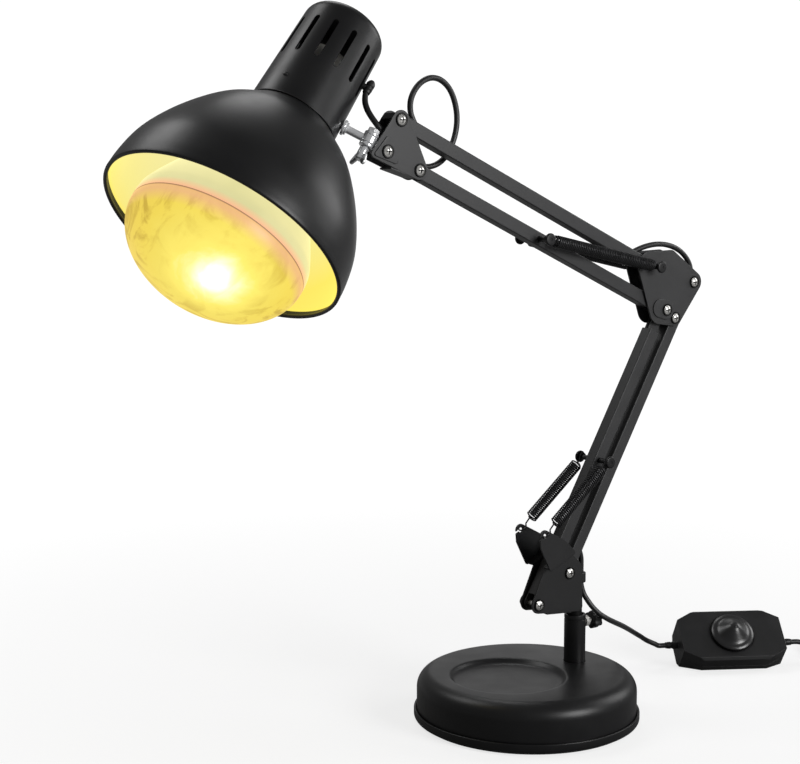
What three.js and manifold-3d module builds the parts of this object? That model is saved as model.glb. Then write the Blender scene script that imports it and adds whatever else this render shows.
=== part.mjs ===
// Kitchen heat lamp: a swing-arm lamp with a reflector bulb in a bowl shade, on a weighted round base.
// Millimetres, +Z up. The origin is the centre of the base's underside. The arms fold in the plane y = 0,
// with the head on the -x side and the post on the +x side of the base.
import * as THREE from 'three';
import { mergeVertices } from 'three/addons/utils/BufferGeometryUtils.js';
import Module from 'manifold-3d';

const wasm = await Module();
wasm.setup();

// Driving dimensions
const GAP = 0.3;
const BASE_RADIUS = 85;
const BASE_HEIGHT = 36;
const COVER_RADIUS = 82.8;
const COVER_SHOULDER = 12;
const SHEET = 1.3;
const DISH_X = -18;
const DISH_RADIUS = 44.7;
const DISH_DEPTH = 4;
const POST_X = 48;
const POST_RADIUS = 8.25;
const POST_TOP = 73;
const PIN_RADIUS = 5.3;
const LOCK_HEIGHT = 65.5;

const BAR_WIDTH = 10;
const BAR_WALL = 1.2;
const PLATE = 1.4;
const PLATE_INSIDE = 5.7;
const PLATE_OUTSIDE = PLATE_INSIDE + PLATE;
const BOLT_RADIUS = 2;
const BOLT_HOLE = 2.35;
const FORK_LENGTH = 19;

const FRONT_FOOT = [5.8, 87.4];
const LOWER_OFFSET = [30, 20.5];
const FRONT_TOP = [131.8, 303.7];
const UPPER_OFFSET = [-15.5, 34];
const UPPER_ARM = [-237, 106.2];
const KNUCKLE_PIVOT = [-132.6, 422.4];
const FRICTION_SCREW = [141.8, 296.8];
const SPRING_EAR = [4.3, 141.5];
const SPRING_SIDE = 14;
const LOWER_SPRING_AT = 0.48;
const UPPER_SPRING_AT = 0.5385;
const SPRING_RADIUS = 4.1;
const WIRE_RADIUS = 0.75;
const LOWER_CURLS = 8;
const UPPER_CURLS = 10;

const HEAD_ORIGIN = [-251.5, 10.6, 365.1];
const HEAD_TILT = 40.45;
const HEAD_HEADING = 14.3;
const STEM_HEADING = -23.4;
const SHADE_RADIUS = 85.7;
const SHADE_TOP = 100.4;
const CAP_FOOT_RADIUS = 31.8;
const CAP_TOP_RADIUS = 29.6;
const CAP_TOP = 189;
const CAP_WALL = 1.2;
const VENTS = 13;
const VENT_LOW = 138;
const VENT_HIGH = 170;
const VENT_WIDTH = 3.3;
const BULB_RADIUS = 62.5;
const STEM_LEVEL = 116;
const STEM_REACH = 51.9;

const CORD_RADIUS = 2.1;
const DIMMER_CENTRE = [226.8, 7.4, 17];
const DIMMER_HEADING = -29.9;
const DIMMER_ROLL = 40;
const DIMMER_LENGTH = 87.4;
const DIMMER_WIDTH = 48.8;
const DIMMER_HEIGHT = 29;
const DIMMER_REST = 17;
const COLLAR = 10;
const COIL_CENTRE = [334, -30];
const COIL_OUTER = 33;
const COIL_TURNS = 3.33;
const COIL_PITCH = 4.65;

const CLIP_X = 53.4;
const CLIP_TOP = 105;
const CLIP_HEIGHT = 8;
const RELIEF_X = 34.2;

const LOWER_SIDES = 10;
const ROUND_SIDES = 16;
const WIDE_SIDES = 32;

const rad = (degrees) => degrees * Math.PI / 180;
const add = (a, b) => [a[0] + b[0], a[1] + b[1]];
const between = (a, b, t) => [a[0] + (b[0] - a[0]) * t, a[1] + (b[1] - a[1]) * t];

// Pivots of the two parallel linkages, as [x, z] in the arm plane
const REAR_FOOT = add(FRONT_FOOT, LOWER_OFFSET);
const REAR_TOP = add(FRONT_TOP, LOWER_OFFSET);
const TOP_BAR_FOOT = add(FRONT_TOP, UPPER_OFFSET);
const TOP_BAR_END = add(TOP_BAR_FOOT, UPPER_ARM);
const BOTTOM_BAR_END = add(FRONT_TOP, UPPER_ARM);
const LOWER_SPRING_PIN = between(FRONT_FOOT, FRONT_TOP, LOWER_SPRING_AT);
const UPPER_SPRING_PIN = between(FRONT_TOP, BOTTOM_BAR_END, UPPER_SPRING_AT);

// Colours
const BLACK_PAINT = { color: 0x17181a, roughness: 0.42, metalness: 0.35 };
const BLACK_PLASTIC = { color: 0x141516, roughness: 0.55, metalness: 0 };
const CHROME = { color: 0xc9ccd0, roughness: 0.18, metalness: 1 };
const IRON = { color: 0x4a4b4d, roughness: 0.8, metalness: 0.6 };
const CERAMIC = { color: 0xe9e6dd, roughness: 0.4, metalness: 0 };
const GLASS = { color: 0xffd27a, roughness: 0.08, metalness: 0 };

// Geometry helpers

// Keeps only the positions, drops triangles without area and turns the faces outwards
function closed(geometry) {
  const bare = geometry.clone();
  for (const name of Object.keys(bare.attributes)) {
    if (name !== 'position') bare.deleteAttribute(name);
  }
  const merged = mergeVertices(bare, 1e-4);
  const index = merged.getIndex().array;
  const kept = [];
  for (let i = 0; i < index.length; i += 3) {
    const [a, b, c] = [index[i], index[i + 1], index[i + 2]];
    if (a !== b && b !== c && c !== a) kept.push(a, b, c);
  }
  if (signedVolume(merged.getAttribute('position'), kept) < 0) {
    for (let i = 0; i < kept.length; i += 3) [kept[i], kept[i + 1]] = [kept[i + 1], kept[i]];
  }
  merged.setIndex(kept);
  return merged;
}

function signedVolume(position, index) {
  const corner = [new THREE.Vector3(), new THREE.Vector3(), new THREE.Vector3()];
  let sum = 0;
  for (let i = 0; i < index.length; i += 3) {
    corner.forEach((point, k) => point.fromBufferAttribute(position, index[i + k]));
    sum += corner[0].dot(corner[1].clone().cross(corner[2]));
  }
  return sum / 6;
}

function solid(geometry) {
  const shape = closed(geometry);
  const vertProperties = new Float32Array(shape.getAttribute('position').array);
  const triVerts = new Uint32Array(shape.getIndex().array);
  return new wasm.Manifold(new wasm.Mesh({ numProp: 3, vertProperties, triVerts }));
}

function surface(manifold) {
  const mesh = manifold.getMesh();
  const geometry = new THREE.BufferGeometry();
  geometry.setAttribute('position', new THREE.BufferAttribute(new Float32Array(mesh.vertProperties), 3));
  geometry.setIndex(Array.from(mesh.triVerts));
  return geometry;
}

function join(parts) {
  return surface(parts.map(solid).reduce((whole, piece) => whole.add(piece)));
}

function cut(body, tools) {
  return surface(tools.map(solid).reduce((rest, tool) => rest.subtract(tool), solid(body)));
}

function common(a, b) {
  return surface(solid(a).intersect(solid(b)));
}

// A turned piece: profile points are [radius, height], turned about the given row axis
function turned(profile, sides, axis = 'z') {
  const points = profile.map(([r, h]) => new THREE.Vector2(r, h));
  const geometry = new THREE.LatheGeometry(points, sides);
  if (axis === 'z') geometry.rotateX(Math.PI / 2);
  if (axis === 'x') geometry.rotateZ(-Math.PI / 2);
  return closed(geometry);
}

function rod(radius, low, high, sides, axis) {
  return turned([[0, low], [radius, low], [radius, high], [0, high]], sides, axis);
}

// Places a piece turned about y at the pivot [x, z]
function atPivot(geometry, pivot) {
  return geometry.translate(pivot[0], 0, pivot[1]);
}

// The outline round a ring of circles [x, z, radius], given anticlockwise
function roundOutline(circles, step = 45) {
  const tangent = (a, b) => {
    const [dx, dz] = [b[0] - a[0], b[1] - a[1]];
    return Math.atan2(dz, dx) - Math.acos((a[2] - b[2]) / Math.hypot(dx, dz));
  };
  const points = [];
  circles.forEach((circle, i) => {
    const before = circles[(i + circles.length - 1) % circles.length];
    const after = circles[(i + 1) % circles.length];
    const start = tangent(before, circle);
    let sweep = tangent(circle, after) - start;
    sweep -= Math.floor(sweep / (2 * Math.PI)) * 2 * Math.PI;
    if (sweep > rad(359)) sweep = 0;
    const count = Math.max(1, Math.round(sweep / rad(step)));
    for (let k = 0; k <= count; k += 1) {
      const angle = start + sweep * k / count;
      const [x, z, r] = circle;
      points.push(new THREE.Vector2(x + r * Math.cos(angle), z + r * Math.sin(angle)));
    }
  });
  return new THREE.Shape(points);
}

function hole(centre, radius, sides = LOWER_SIDES) {
  const points = [];
  for (let k = 0; k < sides; k += 1) {
    const angle = -2 * Math.PI * k / sides;
    points.push(new THREE.Vector2(centre[0] + radius * Math.cos(angle), centre[1] + radius * Math.sin(angle)));
  }
  return new THREE.Path(points);
}

// A flat plate with its outline in the arm plane, between two values of y
function plate(shape, low, high) {
  const geometry = new THREE.ExtrudeGeometry(shape, { depth: high - low, bevelEnabled: false });
  geometry.rotateX(Math.PI / 2);
  geometry.translate(0, high, 0);
  return geometry;
}

// A flat strip seen edge-on in the arm plane, from a to b, between two values of y
function strip(a, b, thickness, low, high) {
  const length = Math.hypot(b[0] - a[0], b[1] - a[1]);
  const side = [-(b[1] - a[1]) / length * thickness / 2, (b[0] - a[0]) / length * thickness / 2];
  const corners = [[a[0] - side[0], a[1] - side[1]], [b[0] - side[0], b[1] - side[1]],
    [b[0] + side[0], b[1] + side[1]], [a[0] + side[0], a[1] + side[1]]];
  return plate(new THREE.Shape(corners.map(([x, z]) => new THREE.Vector2(x, z))), low, high);
}

function bothSides(make) {
  return [make(-PLATE_OUTSIDE, -PLATE_INSIDE), make(PLATE_INSIDE, PLATE_OUTSIDE)];
}

// A round section of the given number of sides
function roundSection(radius, sides) {
  const points = [];
  for (let k = 0; k < sides; k += 1) {
    const angle = 2 * Math.PI * k / sides;
    points.push(new THREE.Vector2(radius * Math.cos(angle), radius * Math.sin(angle)));
  }
  return new THREE.Shape(points);
}

function cable(points, radius, steps) {
  const curve = new THREE.CatmullRomCurve3(points.map((p) => new THREE.Vector3(...p)), false, 'centripetal');
  const options = { steps, extrudePath: curve, bevelEnabled: false };
  return closed(new THREE.ExtrudeGeometry(roundSection(radius, 8), options));
}

// One unbroken tube through a dense row of points, with flat ends
function woundTube(points, radius, sides) {
  const rows = points.length;
  const position = [];
  let side = new THREE.Vector3(0, 0, 1);
  points.forEach((point, i) => {
    const ahead = points[Math.min(i + 1, rows - 1)];
    const behind = points[Math.max(i - 1, 0)];
    const along = ahead.clone().sub(behind).normalize();
    side = side.clone().addScaledVector(along, -side.dot(along));
    if (side.length() < 0.1) side = new THREE.Vector3(1, 0, 0).addScaledVector(along, -along.x);
    side.normalize();
    const other = along.clone().cross(side);
    for (let k = 0; k < sides; k += 1) {
      const angle = 2 * Math.PI * k / sides;
      const ring = point.clone().addScaledVector(side, radius * Math.cos(angle));
      ring.addScaledVector(other, radius * Math.sin(angle));
      position.push(ring.x, ring.y, ring.z);
    }
  });
  const index = [];
  for (let i = 0; i < rows - 1; i += 1) {
    for (let k = 0; k < sides; k += 1) {
      const [a, b] = [i * sides + k, i * sides + (k + 1) % sides];
      index.push(a, b, a + sides, b, b + sides, a + sides);
    }
  }
  const last = (rows - 1) * sides;
  for (let k = 1; k < sides - 1; k += 1) {
    index.push(0, k + 1, k);
    index.push(last, last + k, last + k + 1);
  }
  const geometry = new THREE.BufferGeometry();
  geometry.setAttribute('position', new THREE.Float32BufferAttribute(position, 3));
  geometry.setIndex(index);
  return closed(geometry);
}

// Least gap of a wound tube to itself, measured on the points that its turns pass through
function printSelfGap(name, points, radius, apart) {
  let least = Infinity;
  for (let i = 0; i < points.length; i += 1) {
    for (let j = i + apart; j < points.length; j += 1) {
      least = Math.min(least, points[i].distanceTo(points[j]) - 2 * radius);
    }
  }
  console.log(`${name} least gap to itself ${least.toFixed(2)} mm`);
}

const group = new THREE.Group();

function addPart(name, geometry, look, parent = group) {
  const mesh = new THREE.Mesh(closed(geometry), new THREE.MeshStandardMaterial(look));
  mesh.name = name;
  parent.add(mesh);
  return mesh;
}

// Base
function coverOutline(inset) {
  const radius = COVER_RADIUS - inset;
  const bend = COVER_SHOULDER - inset;
  const centre = [COVER_RADIUS - COVER_SHOULDER, BASE_HEIGHT - COVER_SHOULDER];
  const points = [[0, 3.6], [radius, 3.6]];
  for (let k = 0; k <= 3; k += 1) {
    const angle = rad(30 * k);
    points.push([centre[0] + bend * Math.cos(angle), centre[1] + bend * Math.sin(angle)]);
  }
  points.push([0, BASE_HEIGHT - inset]);
  return points;
}

function dishTool(inset) {
  const floor = BASE_HEIGHT - DISH_DEPTH - inset;
  const slope = [[36, 0], [41.5, 1.8], [DISH_RADIUS, DISH_DEPTH]];
  const points = [[0, floor], ...slope.map(([r, h]) => [r + inset * 0.5, floor + h])];
  points.push([DISH_RADIUS + inset * 0.5, BASE_HEIGHT + 2], [0, BASE_HEIGHT + 2]);
  return turned(points, WIDE_SIDES).translate(DISH_X, 0, 0);
}

function addBase() {
  addPart('base_pad', turned([[0, 0], [81, 0], [81, 1.2], [0, 1.2]], WIDE_SIDES), BLACK_PLASTIC);
  const tray = [[0, 1.5], [83.6, 1.5], [BASE_RADIUS, 2.9], [BASE_RADIUS, 7.9], [84.5, 8.5], [83.2, 8.5],
    [83.2, 3.2], [0, 3.2]];
  addPart('base_tray', turned(tray, WIDE_SIDES), BLACK_PAINT);
  const postHole = rod(POST_RADIUS + 0.35, 0, 40, ROUND_SIDES, 'z').translate(POST_X, 0, 0);
  const inside = cut(turned(coverOutline(SHEET), WIDE_SIDES), [dishTool(SHEET)]).translate(0, 0, -0.01);
  const cover = cut(turned(coverOutline(0), WIDE_SIDES), [dishTool(0)]);
  addPart('base_cover', cut(cover, [inside, postHole]), BLACK_PAINT);
  const weight = turned([[0, 3.6], [79, 3.6], [79, 17], [0, 17]], WIDE_SIDES);
  addPart('base_weight', cut(weight, [postHole]), IRON);
}

function addPost() {
  const inside = POST_RADIUS - 1.6;
  const tube = [[inside, 4], [POST_RADIUS, 4], [POST_RADIUS, POST_TOP - 3.4], [POST_RADIUS - 0.4, POST_TOP - 3.1],
    [POST_RADIUS - 0.4, POST_TOP - 2.6], [POST_RADIUS, POST_TOP - 2.3], [POST_RADIUS, POST_TOP], [inside, POST_TOP],
    [inside, 4]];
  const lockHole = rod(2.6, 5, 10, LOWER_SIDES, 'x').translate(0, 0, LOCK_HEIGHT);
  const post = cut(turned(tube, ROUND_SIDES), [lockHole]);
  addPart('post_tube', post.translate(POST_X, 0, 0), BLACK_PAINT);
  const nut = turned([[10, 19.5], [14, 19.5], [14, 24.3], [10, 24.3], [10, 19.5]], 6);
  addPart('post_nut', nut.translate(POST_X, 0, 0), CHROME);
  const bush = turned([[5.6, 40], [6.35, 40], [6.35, 60], [5.6, 60], [5.6, 40]], ROUND_SIDES);
  addPart('post_bush', bush.translate(POST_X, 0, 0), BLACK_PLASTIC);
}

function addLock() {
  const low = PIN_RADIUS + 0.35;
  const shank = turned([[0, low], [2.2, low], [2.2, 8.9], [4.2, 8.9], [4.2, 12.2], [2.2, 12.2], [2.2, 15.4],
    [0, 15.4]], LOWER_SIDES, 'x');
  addPart('lock_screw_shank', shank.translate(POST_X, 0, LOCK_HEIGHT), CHROME);
  const points = [];
  for (let k = 0; k < 24; k += 1) {
    const angle = rad(15 * k);
    const radius = 6.5 + 0.6 * Math.cos(6 * angle);
    points.push(new THREE.Vector2(radius * Math.cos(angle), radius * Math.sin(angle)));
  }
  const bevel = { depth: 6.2, bevelSize: 0.7, bevelThickness: 0.7, bevelOffset: -0.7, bevelSegments: 1 };
  const knob = new THREE.ExtrudeGeometry(new THREE.Shape(points), bevel);
  knob.rotateY(Math.PI / 2);
  addPart('lock_knob', knob.translate(POST_X + 15.7 + 0.7, 0, LOCK_HEIGHT), BLACK_PLASTIC);
}

// A bolt across the arm plane: domed head on the near side, nut on the far side
function bolt(pivot, near, far) {
  const profile = [[0, -near - 2.3], [2.8, -near - 1.9], [4.1, -near], [BOLT_RADIUS, -near], [BOLT_RADIUS, far],
    [4.3, far], [4.3, far + 3], [0, far + 3.6]];
  return atPivot(turned(profile, LOWER_SIDES, 'y'), pivot);
}

// A spring pin: a shank through the bar or plates with a round cap on each end
function springPin(pivot) {
  const reach = SPRING_SIDE + 2.2;
  const profile = [[0, -reach - 2.2], [3.4, -reach - 2.2], [4.6, -reach - 1], [4.6, -reach], [BOLT_RADIUS, -reach],
    [BOLT_RADIUS, reach], [4.6, reach], [4.6, reach + 1], [3.4, reach + 2.2], [0, reach + 2.2]];
  return atPivot(turned(profile, LOWER_SIDES, 'y'), pivot);
}

// Lower bracket
function addLowerBracket() {
  const lowerOutline = () => {
    const shape = roundOutline([[FRONT_FOOT[0], FRONT_FOOT[1], 6.6], [45.5, 80.4, 3.8],
      [REAR_FOOT[0] + 4, REAR_FOOT[1] + 2, 8], [32, 124.5, 2.2], [13.5, 114.5, 2.2]]);
    shape.holes.push(hole(FRONT_FOOT, BOLT_HOLE), hole(REAR_FOOT, BOLT_HOLE));
    return shape;
  };
  const earOutline = () => {
    const shape = roundOutline([[SPRING_EAR[0], SPRING_EAR[1], 4.6], [2.5, 133, 2], [11.5, 116, 2],
      [32.5, 125.5, 2], [22, 134, 3]]);
    shape.holes.push(hole(SPRING_EAR, 1.9));
    return shape;
  };
  const ear = SPRING_SIDE + PLATE / 2;
  const parts = bothSides((low, high) => plate(lowerOutline(), low, high));
  parts.push(plate(earOutline(), -ear, -ear + PLATE), plate(earOutline(), ear - PLATE, ear));
  parts.push(strip([10.5, 115.2], [33.5, 125.6], PLATE, -ear + 0.2, -PLATE_INSIDE - 0.2));
  parts.push(strip([10.5, 115.2], [33.5, 125.6], PLATE, PLATE_INSIDE + 0.2, ear - 0.2));
  parts.push(strip([14, 79.4], [38.5, 77.4], PLATE, -PLATE_OUTSIDE + 0.2, PLATE_OUTSIDE - 0.2));
  addPart('lower_bracket', join(parts), BLACK_PAINT);
  addPart('lower_bolt_front', bolt(FRONT_FOOT, PLATE_OUTSIDE + GAP, PLATE_OUTSIDE + GAP), CHROME);
  addPart('lower_bolt_rear', bolt(REAR_FOOT, PLATE_OUTSIDE + GAP, PLATE_OUTSIDE + GAP), CHROME);

  const pin = rod(PIN_RADIUS, 32, 78.6, ROUND_SIDES, 'z');
  const head = new THREE.BoxGeometry(9.6, 10.6, 14).translate(-1.9, 0, 85.3);
  addPart('swivel_pin', join([pin, head]).translate(POST_X, 0, 0), CHROME);
  addPart('cord_clip', cordClip(), BLACK_PLASTIC);
}

// Cord clip: a block between the plates with an eye that the cord hangs from
function cordClip() {
  const [top, bottom] = [CLIP_TOP, CLIP_TOP - CLIP_HEIGHT];
  const middle = (top + bottom) / 2;
  const block = new THREE.BoxGeometry(7, 10.6, CLIP_HEIGHT).translate(CLIP_X - 6.5, 0, middle);
  const eye = rod(3.8, bottom, top, ROUND_SIDES, 'z').translate(CLIP_X, 0, 0);
  const bore = rod(CORD_RADIUS + 0.4, bottom - 1, top + 1, ROUND_SIDES, 'z').translate(CLIP_X, 0, 0);
  return cut(join([block, eye]), [bore]);
}

// A square tube bar along x, with its end ears round the pivots at x = 0 and x = length
function bar(length, startEar, endEar) {
  const half = BAR_WIDTH / 2;
  const corner = 1.7;
  const inner = half - BAR_WALL;
  const section = roundOutline([[half - corner, -half + corner, corner], [half - corner, half - corner, corner],
    [-half + corner, half - corner, corner], [-half + corner, -half + corner, corner]], 90);
  const bore = new THREE.Path([[-inner, -inner], [-inner, inner], [inner, inner], [inner, -inner]]
    .map(([x, y]) => new THREE.Vector2(x, y)));
  section.holes.push(bore);
  const depth = length - startEar.reach - endEar.reach;
  const tube = new THREE.ExtrudeGeometry(section, { depth, bevelEnabled: false });
  tube.rotateY(Math.PI / 2);
  tube.translate(startEar.reach, 0, 0);
  const earPair = (x, inward, ear) => {
    const ends = [[x, 0, ear.radius], [x + inward * (ear.reach + 6), 0, ear.radius]];
    return [plate(roundOutline(ends), ear.low, ear.high), plate(roundOutline(ends), -ear.high, -ear.low)];
  };
  const whole = join([tube, ...earPair(0, 1, startEar), ...earPair(length, -1, endEar)]);
  const pivotHole = (x) => turned([[0, -9], [BOLT_HOLE, -9], [BOLT_HOLE, 9], [0, 9]], LOWER_SIDES, 'y').translate(x, 0, 0);
  return { whole, tools: [pivotHole(0), pivotHole(length)], pivotHole };
}

// A cable slot in the upper (+z) or lower (-z) face of a bar
function cableSlot(from, to, face) {
  const height = BAR_WALL * 3;
  const middle = (from + to) / 2;
  return new THREE.BoxGeometry(to - from, 5.4, height).translate(middle, 0, face * (BAR_WIDTH / 2 - BAR_WALL / 2));
}

const PLAIN_EAR = { reach: 6, radius: 4.9, low: 3.85, high: 4.95 };
const FORK_EAR = { reach: FORK_LENGTH, radius: 4.9, low: 3.0, high: 4.95 };
const TONGUE_EAR = { reach: FORK_LENGTH, radius: 4.7, low: 0.8, high: 2.4 };

function addBar(name, from, to, startEar, endEar, extraTools) {
  const length = Math.hypot(to[0] - from[0], to[1] - from[1]);
  const { whole, tools, pivotHole } = bar(length, startEar, endEar);
  const shape = cut(whole, [...tools, ...extraTools(length, pivotHole)]);
  shape.rotateY(-Math.atan2(to[1] - from[1], to[0] - from[0]));
  addPart(name, atPivot(shape, from), BLACK_PAINT);
}

function addLowerArm() {
  addBar('lower_front_bar', FRONT_FOOT, FRONT_TOP, PLAIN_EAR, TONGUE_EAR,
    (length, pivotHole) => [pivotHole(length * LOWER_SPRING_AT)]);
  addBar('lower_rear_bar', REAR_FOOT, REAR_TOP, PLAIN_EAR, PLAIN_EAR, () => [cableSlot(13, 27, -1)]);
  addPart('lower_spring_pin', springPin(LOWER_SPRING_PIN), BLACK_PAINT);
  const ends = [SPRING_EAR, LOWER_SPRING_PIN];
  addSpring('lower_spring_near', ends, -SPRING_SIDE, LOWER_CURLS, 5.6);
  addSpring('lower_spring_far', ends, SPRING_SIDE, LOWER_CURLS, 5.6);
}

// A pull spring between two points of the arm plane, at the side y
function addSpring(name, ends, y, curls, startRadius) {
  const start = new THREE.Vector3(ends[0][0], y, ends[0][1]);
  const end = new THREE.Vector3(ends[1][0], y, ends[1][1]);
  const along = end.clone().sub(start).normalize();
  const side = new THREE.Vector3(0, 1, 0);
  const up = along.clone().cross(side);
  const straight = 2 * WIRE_RADIUS;
  const first = startRadius + GAP;
  const last = start.distanceTo(end) - BOLT_RADIUS - GAP;
  const coilStart = first + straight + 1.5;
  const coilEnd = last - straight - 1.5;
  const onAxis = (distance) => start.clone().addScaledVector(along, distance);
  const points = [onAxis(first), onAxis(first + straight)];
  const steps = curls * 8;
  for (let i = 0; i <= steps; i += 1) {
    const angle = 2 * Math.PI * i / 8;
    const ease = Math.min(1, (i + 1) / 3, (steps - i + 1) / 3);
    const point = onAxis(coilStart + (coilEnd - coilStart) * i / steps);
    point.addScaledVector(side, SPRING_RADIUS * ease * Math.cos(angle));
    points.push(point.addScaledVector(up, SPRING_RADIUS * ease * Math.sin(angle)));
  }
  points.push(onAxis(last - straight), onAxis(last));
  printSelfGap(name, points, WIRE_RADIUS, 6);
  addPart(name, woundTube(points, WIRE_RADIUS, 5), BLACK_PAINT);
}

// Elbow
function addElbow() {
  const outline = () => {
    const shape = roundOutline([[FRICTION_SCREW[0], FRICTION_SCREW[1] + 0.4, 6.8], [...REAR_TOP, 8], [136, 343, 7],
      [TOP_BAR_FOOT[0] - 2.8, TOP_BAR_FOOT[1], 11.5], [FRONT_TOP[0] - 6.3, FRONT_TOP[1], 11]]);
    [FRONT_TOP, REAR_TOP, TOP_BAR_FOOT].forEach((pivot) => shape.holes.push(hole(pivot, BOLT_HOLE)));
    return shape;
  };
  const parts = bothSides((low, high) => plate(outline(), low, high));
  const boss = () => {
    const shape = roundOutline([[FRONT_TOP[0], FRONT_TOP[1], 7.6], [FRONT_TOP[0] - 7, FRONT_TOP[1] + 1.5, 7.2]]);
    shape.holes.push(hole(FRONT_TOP, BOLT_HOLE));
    return shape;
  };
  parts.push(plate(boss(), -PLATE_OUTSIDE - 1, -PLATE_OUTSIDE + 0.5), plate(boss(), PLATE_OUTSIDE - 0.5, PLATE_OUTSIDE + 1));
  parts.push(strip([118, 347.1], [142, 340.2], PLATE, -PLATE_OUTSIDE + 0.2, PLATE_OUTSIDE - 0.2));
  const screwHole = turned([[0, -12], [BOLT_HOLE, -12], [BOLT_HOLE, 0], [0, 0]], LOWER_SIDES, 'y');
  addPart('elbow_bracket', cut(join(parts), [atPivot(screwHole, FRICTION_SCREW)]), BLACK_PAINT);
  const reach = PLATE_OUTSIDE + GAP;
  addPart('elbow_bolt_front', bolt(FRONT_TOP, reach + 1, reach + 1), CHROME);
  addPart('elbow_bolt_rear', bolt(REAR_TOP, reach, reach), CHROME);
  const tip = BAR_WIDTH / 2 + 0.4;
  const friction = turned([[0, -reach - 2.3], [2.2, -reach - 2.1], [3.6, -reach - 1.3], [4.1, -reach],
    [BOLT_RADIUS, -reach], [BOLT_RADIUS, -tip], [0, -tip]], LOWER_SIDES, 'y');
  addPart('elbow_friction_screw', atPivot(friction, FRICTION_SCREW), CHROME);
  addPart('elbow_spring_pin', springPin(TOP_BAR_FOOT), BLACK_PAINT);
}

function addUpperArm() {
  addBar('upper_top_bar', TOP_BAR_FOOT, TOP_BAR_END, PLAIN_EAR, PLAIN_EAR,
    (length) => [cableSlot(7, 24, -1), cableSlot(length - 28, length - 10, -1)]);
  addBar('upper_bottom_bar', FRONT_TOP, BOTTOM_BAR_END, FORK_EAR, PLAIN_EAR,
    (length, pivotHole) => [pivotHole(length * UPPER_SPRING_AT)]);
  addPart('upper_spring_pin', springPin(UPPER_SPRING_PIN), BLACK_PAINT);
  const ends = [TOP_BAR_FOOT, UPPER_SPRING_PIN];
  addSpring('upper_spring_near', ends, -SPRING_SIDE, UPPER_CURLS, BOLT_RADIUS);
  addSpring('upper_spring_far', ends, SPRING_SIDE, UPPER_CURLS, BOLT_RADIUS);
}

// Head bracket
function addHeadBracket() {
  const outline = () => {
    const shape = roundOutline([[...BOTTOM_BAR_END, 6.6], [...TOP_BAR_END, 6.6],
      [KNUCKLE_PIVOT[0] - 9.6, KNUCKLE_PIVOT[1] - 1.4, 3]]);
    [BOTTOM_BAR_END, TOP_BAR_END, KNUCKLE_PIVOT].forEach((pivot) => shape.holes.push(hole(pivot, BOLT_HOLE)));
    return shape;
  };
  const boss = () => {
    const [x, z] = KNUCKLE_PIVOT;
    const shape = roundOutline([[x + 7, z - 6.5, 1.8], [x + 0.5, z + 8.5, 1.8], [x - 8.5, z - 1.5, 1.8]]);
    shape.holes.push(hole(KNUCKLE_PIVOT, BOLT_HOLE));
    return shape;
  };
  const parts = bothSides((low, high) => plate(outline(), low, high));
  parts.push(plate(boss(), -PLATE_OUTSIDE - 0.9, -PLATE_OUTSIDE + 0.5));
  parts.push(plate(boss(), PLATE_OUTSIDE - 0.5, PLATE_OUTSIDE + 0.9));
  const web = PLATE_OUTSIDE - 0.2;
  const [topX, topZ] = TOP_BAR_END;
  const [endX, endZ] = BOTTOM_BAR_END;
  parts.push(strip([topX - 4.1, topZ + 4.5], [topX - 9.3, topZ - 2], PLATE, -web, web));
  parts.push(strip([endX - 3, endZ - 4.9], [endX - 24, endZ + 1.4], PLATE, -web, web));
  addPart('head_bracket', join(parts), BLACK_PAINT);
  const reach = PLATE_OUTSIDE + GAP;
  addPart('head_bolt_top', bolt(TOP_BAR_END, reach, reach), CHROME);
  addPart('head_bolt_bottom', bolt(BOTTOM_BAR_END, reach, reach), CHROME);
  addPart('head_pivot_bolt', bolt(KNUCKLE_PIVOT, reach + 0.9, reach + 0.9), CHROME);
}

// Directions of the head: its axis from rim to cap, the way to the arm, and the swivel's axis
const headAxis = new THREE.Vector3(Math.sin(rad(HEAD_TILT)) * Math.cos(rad(HEAD_HEADING)),
  Math.sin(rad(HEAD_TILT)) * Math.sin(rad(HEAD_HEADING)), Math.cos(rad(HEAD_TILT)));
const armWay = new THREE.Vector3(Math.cos(rad(STEM_HEADING)), Math.sin(rad(STEM_HEADING)), 0);
armWay.addScaledVector(headAxis, -armWay.dot(headAxis)).normalize();
const swivelAxis = armWay.clone().cross(new THREE.Vector3(0, 1, 0)).normalize();
const swivelPoint = new THREE.Vector3(...HEAD_ORIGIN).addScaledVector(headAxis, STEM_LEVEL)
  .addScaledVector(armWay, STEM_REACH);

const headGroup = new THREE.Group();
headGroup.position.set(...HEAD_ORIGIN);
headGroup.setRotationFromMatrix(new THREE.Matrix4().makeBasis(armWay, headAxis.clone().cross(armWay), headAxis));
group.add(headGroup);

const jointGroup = new THREE.Group();
const acrossJoint = new THREE.Vector3(0, 1, 0).cross(swivelAxis);
jointGroup.position.copy(swivelPoint);
jointGroup.setRotationFromMatrix(new THREE.Matrix4().makeBasis(acrossJoint, new THREE.Vector3(0, 1, 0), swivelAxis));
group.add(jointGroup);

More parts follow.
